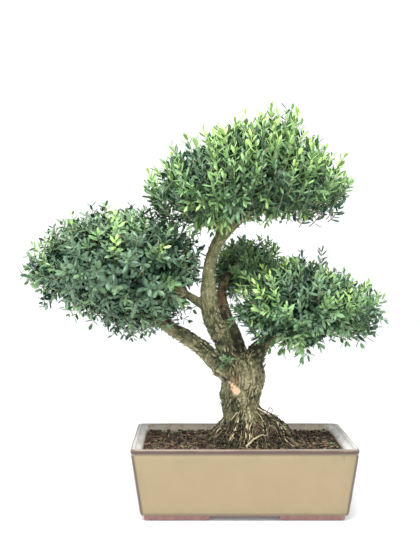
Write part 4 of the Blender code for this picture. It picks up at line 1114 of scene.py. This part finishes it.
# Old leaves run from painted shade, nearly black, to painted light, by each leaf's tone.
old_leaf_in_painted_light = leaf_green.blend(leaf_green.value("tone_and_painted_light"), (0.012, 0.042, 0.030), (0.150, 0.265, 0.160))
mid_leaf = leaf_green.blend(drift, (0.125, 0.248, 0.088), (0.180, 0.325, 0.125))
new_leaf = leaf_green.blend(drift, (0.30, 0.48, 0.115), (0.42, 0.60, 0.18))
halfway = leaf_green.sum(leaf_green.value("age"), 2.0)
halfway.node.use_clamp = True
young = leaf_green.sum(leaf_green.sum(leaf_green.value("age"), 0.5, "SUBTRACT"), 2.0)
young.node.use_clamp = True
leaf_colour = leaf_green.blend(halfway, old_leaf_in_painted_light, mid_leaf)
leaf_colour = leaf_green.blend(young, leaf_colour, new_leaf)
# A painted highlight along each leaf's raised middle.
painted_crest_highlight = leaf_green.sum(leaf_green.value("crest"), 0.16)
leaf_colour = leaf_green.blend(painted_crest_highlight, leaf_colour, (0.26, 0.40, 0.18))
leaf_green.colour(leaf_colour)
leaf_green.roughness(leaf_green.mask(GRAIN, 300, 0.3, 0.7), 0.30, 0.46)

twig = Finish("twig_bark", Roughness=0.8, Specular_IOR_Level=0.3)
twig_colour = twig.blend(twig.mask(GRAIN, 500, 0.3, 0.7), (0.17, 0.14, 0.085), (0.36, 0.31, 0.19))
green_twig = twig.blend(twig.mask(GRAIN, 500, 0.3, 0.7), (0.16, 0.24, 0.07), (0.28, 0.36, 0.12))
twig.colour(twig.blend(twig.value("age"), twig_colour, green_twig))
twig.bump(twig.mask(GRAIN, 900, 0.3, 0.7), 0.0002)

# %% [markdown]
# Each pad is given by its middle, half its depth and its outline: the distance from the middle to the
# edge, seen from the front, at sixteen equal angles. Shoots stand on points spread evenly over that form
# by the golden angle, so the pad keeps its shape however many there are. The rest of a row says how upright
# and how new the shoots are, how long, how far their lowest and highest leaves open, in degrees, a leaf's
# length and its width as a share of it, how many shoots lead, and how much painted light their leaves get.

# %% Pads
PADS = {
    "left": {
        "middle": (-13.3, -0.4, 24.37), "depth": 7.8, "shoots": 760, "inner": 2000,
        "outline": (10.1, 9.8, 8.1, 6.9, 6.5, 6.6, 6.9, 8.0, 9.2, 8.1, 6.7, 6.2, 6.7, 7.8, 9.3, 9.3),
        "upright": 0.35, "new": 0.02, "length": (2.3, 4.2), "open": (74, 44),
        "leaf": (1.12, 0.37), "leading": 0.46, "light": 0.58,
    },
    "top": {
        "middle": (0.9, 0.6, 33.57), "depth": 8.2, "shoots": 680, "inner": 1500,
        "outline": (10.5, 9.0, 8.0, 8.3, 7.0, 7.0, 7.4, 8.8, 10.9, 9.7, 8.4, 6.6, 4.6, 4.5, 6.0, 8.6),
        "upright": 0.95, "new": 0.64, "length": (3.4, 5.8), "open": (56, 26),
        "leaf": (1.20, 0.32), "leading": 0.42, "light": 1.60,
    },
    "right": {
        "middle": (7.4, -1.2, 20.87), "depth": 6.6, "shoots": 450, "inner": 950,
        "outline": (7.4, 5.5, 4.8, 4.8, 5.0, 5.5, 6.5, 7.6, 9.0, 7.8, 6.7, 6.2, 5.7, 4.9, 5.4, 6.5),
        "upright": 0.60, "new": 0.31, "length": (2.8, 4.6), "open": (60, 30),
        "leaf": (1.14, 0.34), "leading": 0.48, "light": 1.05,
    },
    "back": {
        "middle": (1.2, 6.6, 24.87), "depth": 4.6, "shoots": 260, "inner": 380,
        "outline": (4.1, 3.9, 3.5, 3.3, 3.3, 3.4, 3.7, 4.0, 4.3, 4.7, 4.9, 4.5, 4.1, 4.0, 4.1, 4.1),
        "upright": 0.7, "new": 0.36, "length": (2.0, 3.2), "open": (66, 34),
        "leaf": (1.02, 0.33), "leading": 0.66, "light": 3.60,
    },
}
PAIRS, LEAF_THICK = 8, 0.03
# Room kept round the limbs by a shoot's tip and its bend, and round the pale branch by leaves before it.
TIP_ROOM, BEND_ROOM, PALE_ROOM = 0.45, 0.25, 0.55
CARRIED_BY = {"left": (LEFT_ID, PALE_ID), "top": (LEADER_ID,), "right": (RIGHT_ID,), "back": (SECOND_ID,)}


def outline_at(pad, x, z):
    """The outline's distance in the direction x, z: the sixteen distances joined by a smooth line."""
    rows = np.array(pad["outline"])
    place = np.arctan2(z, x) / (2 * math.pi) * len(rows) % len(rows)
    first, share = place.astype(int), place % 1
    before, start, end, after = (rows[(first + step) % len(rows)] for step in (-1, 0, 1, 2))
    slope, next_slope = (end - before) / 2, (after - start) / 2
    return (start + slope * share + (3 * (end - start) - 2 * slope - next_slope) * share ** 2
            + (2 * (start - end) + slope + next_slope) * share ** 3)


def pad_point(pad, way):
    """Where directions from the pad's middle meet its outline, which is an ellipse across its depth."""
    radius = outline_at(pad, way[:, 0], way[:, 2])
    return np.array(pad["middle"]) + way * np.column_stack([radius, np.full(len(way), pad["depth"]), radius])


def fill_at(pad, points, margin=0.0):
    """0 at the pad's middle and 1 on its outline."""
    away = points - np.array(pad["middle"])
    radius = outline_at(pad, away[:, 0], away[:, 2]) + margin
    return (away[:, 0] ** 2 + away[:, 2] ** 2) / radius ** 2 + (away[:, 1] / (pad["depth"] + margin)) ** 2


def outward(pad, points):
    """The direction in which the pad's fill grows fastest, from its difference along each axis."""
    steps = np.eye(3) * 0.2
    rise = [fill_at(pad, points + step) - fill_at(pad, points - step) for step in steps]
    return unit(np.stack(rise, axis=-1))


def even_ways(count, jitter):
    """Directions over a ball: equal steps of height, each turned by the golden angle, a little shaken."""
    step = np.arange(count)
    z = 1 - (2 * step + 1) / count
    turn = step * math.pi * (3 - math.sqrt(5))
    flat = np.sqrt(1 - z * z)
    ways = np.column_stack([flat * np.cos(turn), flat * np.sin(turn), z])
    return unit(ways + draw.normal(0, jitter, (count, 3)))


def clear_of_wood(points, room):
    """Whether points are further than that from the bark of the six limbs."""
    return on_limbs(points, RIGHT_ID + 1)["off"] > room


def hides_pale_branch(points):
    """Points near the pale branch as seen from the front, and before it, except at its thin end."""
    line = LIMB_LINES[PALE_ID][:-8]
    away = np.hypot(points[:, None, 0] - line[:, 0], points[:, None, 2] - line[:, 2])
    return (away.min(axis=1) < PALE_ROOM) & (points[:, 1] < line[away.argmin(axis=1), 1])


print("pads:", ", ".join(PADS))

# %% [markdown]
# A shoot's stem is a curve with three handles: it starts inside the pad, heads outwards, and bends to
# the way it ends. Upper shoots stand up, side shoots reach out, and those under the pad hang a little.
# Some shoots lead, in clumps, and their leaves are painted lighter, as in light; the others stay under
# them, with leaves painted dark as shade. Each carries eight pairs, and a pair shares a node of the stem
# and opens less the nearer it is to the tip.

# %% Shoots


def curve_at(handles, share):
    """Points of the curves (1-t)^2 a + 2t(1-t) b + t^2 c for each shoot and each share t."""
    a, b, c = (handle[:, None] for handle in handles)
    t = np.asarray(share)[None, :, None]
    return (1 - t) ** 2 * a + 2 * t * (1 - t) * b + t * t * c


def pad_shoots(pad, count, spread):
    """The three handles of each shoot's stem, and which shoots lead. Tips stand a leaf's length inside
    the outline, further out on some leading shoots and in clumps, and upright pads turn theirs up."""
    tips = pad_point(pad, even_ways(count, 0.6 / math.sqrt(count)))
    out = outward(pad, tips)
    rise = ramp(out[:, 2], -0.60, 0.30)[:, None] * pad["upright"]
    aim = unit(out * (1 - 0.80 * rise) + np.array([0, 0, 1.0]) * rise + draw.normal(0, spread, (count, 3)))
    radial = unit(tips - np.array(pad["middle"]))
    length = draw.uniform(*pad["length"], count)[:, None]
    clump = layered_noise(tips * 0.36, 2, 91)[:, None]
    leads = draw.random((count, 1)) < pad["leading"] + 0.35 * clump
    leading_stand = -0.95 + 1.35 * draw.random((count, 1)) ** 3
    under_stand = -2.5 + 1.2 * draw.random((count, 1))
    end = tips + aim * (np.where(leads, leading_stand, under_stand) + 0.75 * clump)
    foot = end - length * (0.65 * aim + 0.35 * radial)
    bend = foot + (0.6 * radial + 0.4 * aim) * length * 0.45
    return foot, bend, end, leads[:, 0]


def dressed(pad, handles, leads, freshness, thickness):
    """All the leaves and stems of a pad's shoots: one array of nodes, then two leaves at each node."""
    count = len(freshness)
    share = np.linspace(0.16, 0.985, PAIRS)
    nodes = curve_at(handles, share)
    way = unit(curve_at(handles, share + 0.01) - nodes)
    side = unit(np.cross(way, draw.normal(size=(count, 1, 3))))
    roll = (draw.uniform(0, math.pi, (count, 1)) + np.arange(PAIRS) * math.pi / 2)[..., None]
    across = side * np.cos(roll) + np.cross(way, side) * np.sin(roll)
    level = np.arange(PAIRS) / (PAIRS - 1)
    low, high = pad["open"]
    opening = np.radians(low + (high - low) * level ** 1.4) + draw.normal(0, 0.18, (2, count, PAIRS))
    size = (1.0 - 0.32 * level ** 4) * draw.uniform(0.75, 1.15, (2, count, PAIRS))
    age = freshness[:, None] * (0.25 + 0.75 * level) + draw.normal(0, 0.07, (2, count, PAIRS))
    rows = []
    for hand, sign in enumerate((1, -1)):
        out, open_by = across * sign, opening[hand][..., None]
        run = unit(way * np.cos(open_by) + out * np.sin(open_by) + draw.normal(0, 0.09, (count, PAIRS, 3)))
        wide = unit(np.cross(way * np.sin(open_by) - out * np.cos(open_by), run))
        rows.append((nodes.reshape(-1, 3), run.reshape(-1, 3), wide.reshape(-1, 3)))
    start, run, wide = (np.concatenate(part) for part in zip(*rows))
    length, age = size.ravel() * pad["leaf"][0], np.clip(age, 0, 1).ravel()
    keep = (draw.random(len(length)) > 0.04) & clear_of_wood(start + run * 0.7, 0.10)
    # Painted light and shade: leaves of leading shoots and near the tips are painted lighter, those of the
    # shoots under them darker, and each pad's light scales it.
    light = np.where(leads[:, None], 0.45 + 0.55 * level, 0.10 + 0.30 * level)
    tone_and_painted_light = (draw.random((2, count, PAIRS)) ** 1.2 * light * pad["light"]).ravel()
    keep &= ~hides_pale_branch(start + run * 0.7)
    start, run, wide, length, age, tone_and_painted_light = (rows[keep] for rows in (start, run, wide, length, age, tone_and_painted_light))
    slim = pad["leaf"][1] * draw.uniform(0.85, 1.2, len(length))
    arch, fold = draw.uniform(0.00, 0.20, len(length)), draw.uniform(0.04, 0.18, len(length))
    leaves = blades(start, run, wide, length, length * slim, LEAF_THICK, arch, fold,
                    {"age": age, "tone_and_painted_light": tone_and_painted_light})
    stems = tubes(curve_at(handles, np.linspace(0, 0.99, 5)), thickness * np.linspace(1.3, 0.55, 5), 4,
                  age=np.clip(freshness * 0.8 + draw.normal(0.25, 0.2, count), 0, 1))
    return leaves, stems


def make_pad(name):
    """The pad's leaves and twigs as two pieces; the leaves stand for the pad's solid."""
    pad = PADS[name]
    *handles, leads = pad_shoots(pad, pad["shoots"], 0.13)
    free = clear_of_wood(handles[2], TIP_ROOM) & clear_of_wood(handles[1], BEND_ROOM)
    for other in PADS:
        if other != name:
            free &= fill_at(PADS[other], handles[2]) > 0.9
    handles, leads = [rows[free] for rows in handles], leads[free]
    height = ramp(outward(pad, handles[2])[:, 2], -0.1, 0.8)
    patch = layered_noise(handles[2] * 0.30, 2, 95)
    count = len(leads)
    fresh = draw.random(count) ** 2 * (0.35 + 0.65 * height) + 0.30 * patch * (pad["new"] > 0.2)
    # Leaves of the shoots under the leaders are kept near the old colour, which their painted shade makes
    # dark.
    fresh = np.clip(fresh + draw.normal(pad["new"] - 0.12, 0.15, count), 0, 1) * np.where(leads, 1.0, 0.15)
    leaves, stems = dressed(pad, handles, leads, fresh, 0.042)
    inner = inner_leaves(pad, pad["inner"])
    ribs = branchlets(name, pad)
    finished(f"foliage_{name}_leaves", mesh_from(f"{name}_leaves", strung([leaves, inner])),
             leaf_green.material, [f"foliage_{name}"], sharp_from=75)
    finished(f"foliage_{name}_twigs", mesh_from(f"{name}_twigs", strung([stems, *ribs])),
             twig.material, [f"foliage_{name}"])


def inner_leaves(pad, count):
    """Older leaves deep in the pad, painted nearly black as shade, which keep the light out of it. They begin
    far enough inside the outline that hardly any reaches past it."""
    ways = even_ways(count, 0.1)
    edge = pad_point(pad, ways) - np.array(pad["middle"])
    deepest = np.maximum(0.3, 1 - 2.3 / np.linalg.norm(edge, axis=-1))
    start = np.array(pad["middle"]) + edge * (draw.uniform(0.45, 1.0, count) * deepest)[:, None]
    run = unit(ways + draw.normal(0, 0.8, (count, 3)))
    wide = unit(np.cross(run, draw.normal(size=(count, 3))))
    length = draw.uniform(1.0, 1.5, count)
    return blades(start, run, wide, length, length * 0.5, 0.04, 0.08, 0.08,
                  {"age": 0.0, "tone_and_painted_light": draw.random(count) * 0.12})


def branchlets(name, pad):
    """Branches inside the pad, from the limb that carries it out to two thirds of the outline."""
    made = []
    for limb in CARRIED_BY[name]:
        line = LIMB_LINES[limb]
        inside = np.flatnonzero(fill_at(pad, line[:, :3]) < 0.8)
        count = max(8, pad["shoots"] // 16)
        ways = even_ways(count, 0.15)
        edge = pad_point(pad, ways) - np.array(pad["middle"])
        ends = np.array(pad["middle"]) + edge * draw.uniform(0.62, 0.85, (count, 1))
        start = line[draw.choice(inside, count)]
        bend = (start[:, :3] + ends) / 2 + draw.normal(0, 0.5, (count, 3)) - [0, 0, 0.4]
        share = np.linspace(0, 1, 9)
        paths = curve_at((start[:, :3], bend, ends), share)
        thick = np.minimum(start[:, 3:], 0.22) * np.linspace(1.0, 0.28, 9)
        made.append(tubes(paths, thick, 6, age=0.0))
    return made


for pad_name in PADS:
    make_pad(pad_name)

# %% [markdown]
# Small things finish the picture: a fresh sprout in the fork, a few weeds in the soil, and one dry
# curled root that has sprung up beside the trunk. They are blades and tubes once more.

# %% Sprout, weeds and a dry curl


def tuft(centre, count, length, width, lift, age):
    """A rosette of leaves round a point, turned by the golden angle and lifted towards the middle."""
    step = np.arange(count)
    turn = step * math.pi * (3 - math.sqrt(5))
    tilt = lift + 0.5 * step / count
    run = np.column_stack([np.cos(turn) * np.cos(tilt), np.sin(turn) * np.cos(tilt), np.sin(tilt)])
    wide = unit(np.cross([0, 0, 1.0], run))
    start = np.array(centre) + run * 0.05
    sizes = length * draw.uniform(0.7, 1.15, count)
    return blades(start, run, wide, sizes, sizes * width, LEAF_THICK, 0.15, 0.1,
                  {"age": np.full(count, age), "tone_and_painted_light": 0.5 * draw.random(count)})


def sprout_leaves():
    """The sprout on the trunk: three short shoots out of one place, as on the big pads."""
    foot = np.array([[-1.62, -1.30, 14.62]] * 3)
    aim = unit(np.array([(-0.25, -0.75, 0.60), (0.45, -0.70, 0.55), (-0.65, -0.60, -0.30)]))
    end = foot + aim * np.array([[1.3], [1.0], [0.9]])
    handles = [foot, (foot + end) / 2 + [0, -0.1, 0.1], end]
    count = 3
    share = np.linspace(0.30, 0.98, 5)
    nodes = curve_at(handles, share)
    way = unit(curve_at(handles, share + 0.01) - nodes)
    side = unit(np.cross(way, [0.3, 0.2, 1.0]))
    roll = (np.arange(5) * math.pi / 2)[None, :, None] + 0.4
    across = side * np.cos(roll) + np.cross(way, side) * np.sin(roll)
    opened = 1.05
    rows = []
    for sign in (1, -1):
        run = unit(way * math.cos(opened) + across * sign * math.sin(opened))
        face = unit(way * math.sin(opened) - across * sign * math.cos(opened))
        rows.append((nodes.reshape(-1, 3), run.reshape(-1, 3), unit(np.cross(face, run)).reshape(-1, 3)))
    start, run, wide = (np.concatenate(part) for part in zip(*rows))
    # Painted shade: the sprout's leaves in the fork get a low tone, so they are painted dark.
    values = {"age": 0.18, "tone_and_painted_light": draw.random(len(start)) * 0.2}
    leaves = blades(start, run, wide, 0.46, 0.19, LEAF_THICK, 0.1, 0.1, values)
    thick = np.linspace(0.05, 0.02, 5)[None].repeat(count, 0)
    stems = tubes(curve_at(handles, np.linspace(0, 0.98, 5)), thick, 5, age=0.6)
    return leaves, stems


sprout, sprout_stems = sprout_leaves()
finished("trunk_sprout_leaves", mesh_from("trunk_sprout_leaves", sprout), leaf_green.material,
         ["trunk_sprout"], sharp_from=75)
finished("trunk_sprout_stems", mesh_from("trunk_sprout_stems", sprout_stems), twig.material,
         ["trunk_sprout"])

# x, y, number of leaves and size of each weed.
WEEDS = [
    (-8.1, 5.4, 8, 0.60), (-7.3, 5.0, 7, 0.50), (-6.6, 5.5, 7, 0.45), (7.9, 1.6, 8, 0.60),
    (8.7, -0.9, 7, 0.45), (9.2, -1.6, 7, 0.55), (2.9, -2.2, 6, 0.35), (-4.2, 3.0, 7, 0.40),
    (-8.6, -3.9, 6, 0.35), (5.6, 4.4, 6, 0.4), (9.2, 5.6, 7, 0.50), (6.7, -2.4, 7, 0.45),
    (-5.4, 5.9, 6, 0.40), (4.3, -1.5, 7, 0.42), (4.7, -1.9, 6, 0.36),
]
weeds = [tuft((x, y, soil_level(x, y) + 0.12), count, size * 0.65, 0.36, 0.25, 0.30)
         for x, y, count, size in WEEDS]
finished("weeds", mesh_from("weeds", strung(weeds)), leaf_green.material, sharp_from=75)

CURL = [
    (2.45, -0.5, 8.85, 0.060), (2.58, -0.6, 9.30, 0.060), (2.72, -0.6, 9.85, 0.055),
    (2.95, -0.6, 10.05, 0.055), (3.16, -0.6, 9.85, 0.050), (3.10, -0.6, 9.45, 0.045),
    (3.50, -0.6, 9.30, 0.045), (3.92, -0.6, 9.18, 0.04),
]
curl_line = smooth_path(CURL, 5)
dry = Finish("dry_root", Roughness=0.8)
dry.colour(dry.blend(dry.mask(GRAIN, 700, 0.3, 0.7), (0.15, 0.10, 0.12), (0.28, 0.20, 0.22)))
curl = tubes(curl_line[None, :, :3], curl_line[None, :, 3], 8)
finished("dry_curled_root", mesh_from("dry_curled_root", curl), dry.material)

# %% [markdown]
# The object stands on a plain white surface in soft, bright light, as in a shop's light tent: one large
# lamp above and in front, weaker ones low in front and on either side, and a nearly white surround that
# fills the shadows. The camera is level with the fork, 1.1 m away, and its shift frames the object.

# %% Floor, light and camera


def add_lamp(name, place, target, size, power):
    """A square lamp at a place in centimetres from the pot's base, facing a target."""
    lamp = bpy.data.lights.new(name, "AREA")
    lamp.shape, lamp.size, lamp.energy = "SQUARE", size, power
    holder = bpy.data.objects.new(name, lamp)
    place, target = (Vector(POT_CENTRE + np.array(spot) * CM) for spot in (place, target))
    holder.location = place
    holder.rotation_euler = (target - place).to_track_quat("-Z", "Y").to_euler()
    bpy.context.scene.collection.objects.link(holder)
    return holder


floor_size = 6.0
floor_mesh = bpy.data.meshes.new("floor")
half = floor_size / 2
corners = [(-half, -half, 0), (half, -half, 0), (half, half, 0), (-half, half, 0)]
floor_mesh.from_pydata(corners, [], [(0, 1, 2, 3)])
floor = bpy.data.objects.new("floor", floor_mesh)
bpy.context.scene.collection.objects.link(floor)
floor.location.z = -0.0004
paper = Finish("white_paper", Roughness=0.9)
paper.colour((0.74, 0.75, 0.76))
paper.shader.inputs["Emission Color"].default_value = (0.92, 0.97, 1.0, 1.0)
paper.shader.inputs["Emission Strength"].default_value = 0.12
floor_mesh.materials.append(paper.material)

add_lamp("key_above", (-20, -60, 130), (0, 0, 18), 0.8, 30)
add_lamp("fill_low", (-10, -130, 8), (0, 0, 26), 1.0, 3)
add_lamp("fill_right", (110, -60, 50), (0, 0, 18), 0.9, 5)
add_lamp("fill_left", (-110, -50, 50), (0, 0, 18), 0.9, 5)

surround = bpy.data.worlds.new("light_tent")
bpy.context.scene.world = surround
surround.use_nodes = True
surround.node_tree.nodes["Background"].inputs["Color"].default_value = (0.97, 0.99, 1.0, 1.0)
surround.node_tree.nodes["Background"].inputs["Strength"].default_value = 1.16

lens = bpy.data.cameras.new("camera")
lens.lens, lens.sensor_width = 68.7, 36
lens.shift_x, lens.shift_y = 0.032, -0.0536
camera = bpy.data.objects.new("camera", lens)
camera.location = Vector(POT_CENTRE + np.array([-5.1, -110.5, 26.27]) * CM)
camera.rotation_euler = (math.pi / 2, 0, 0)
bpy.context.scene.collection.objects.link(camera)
bpy.context.scene.camera = camera
bpy.context.scene.view_settings.view_transform = "Standard"
print("camera at", tuple(round(value, 3) for value in camera.location))
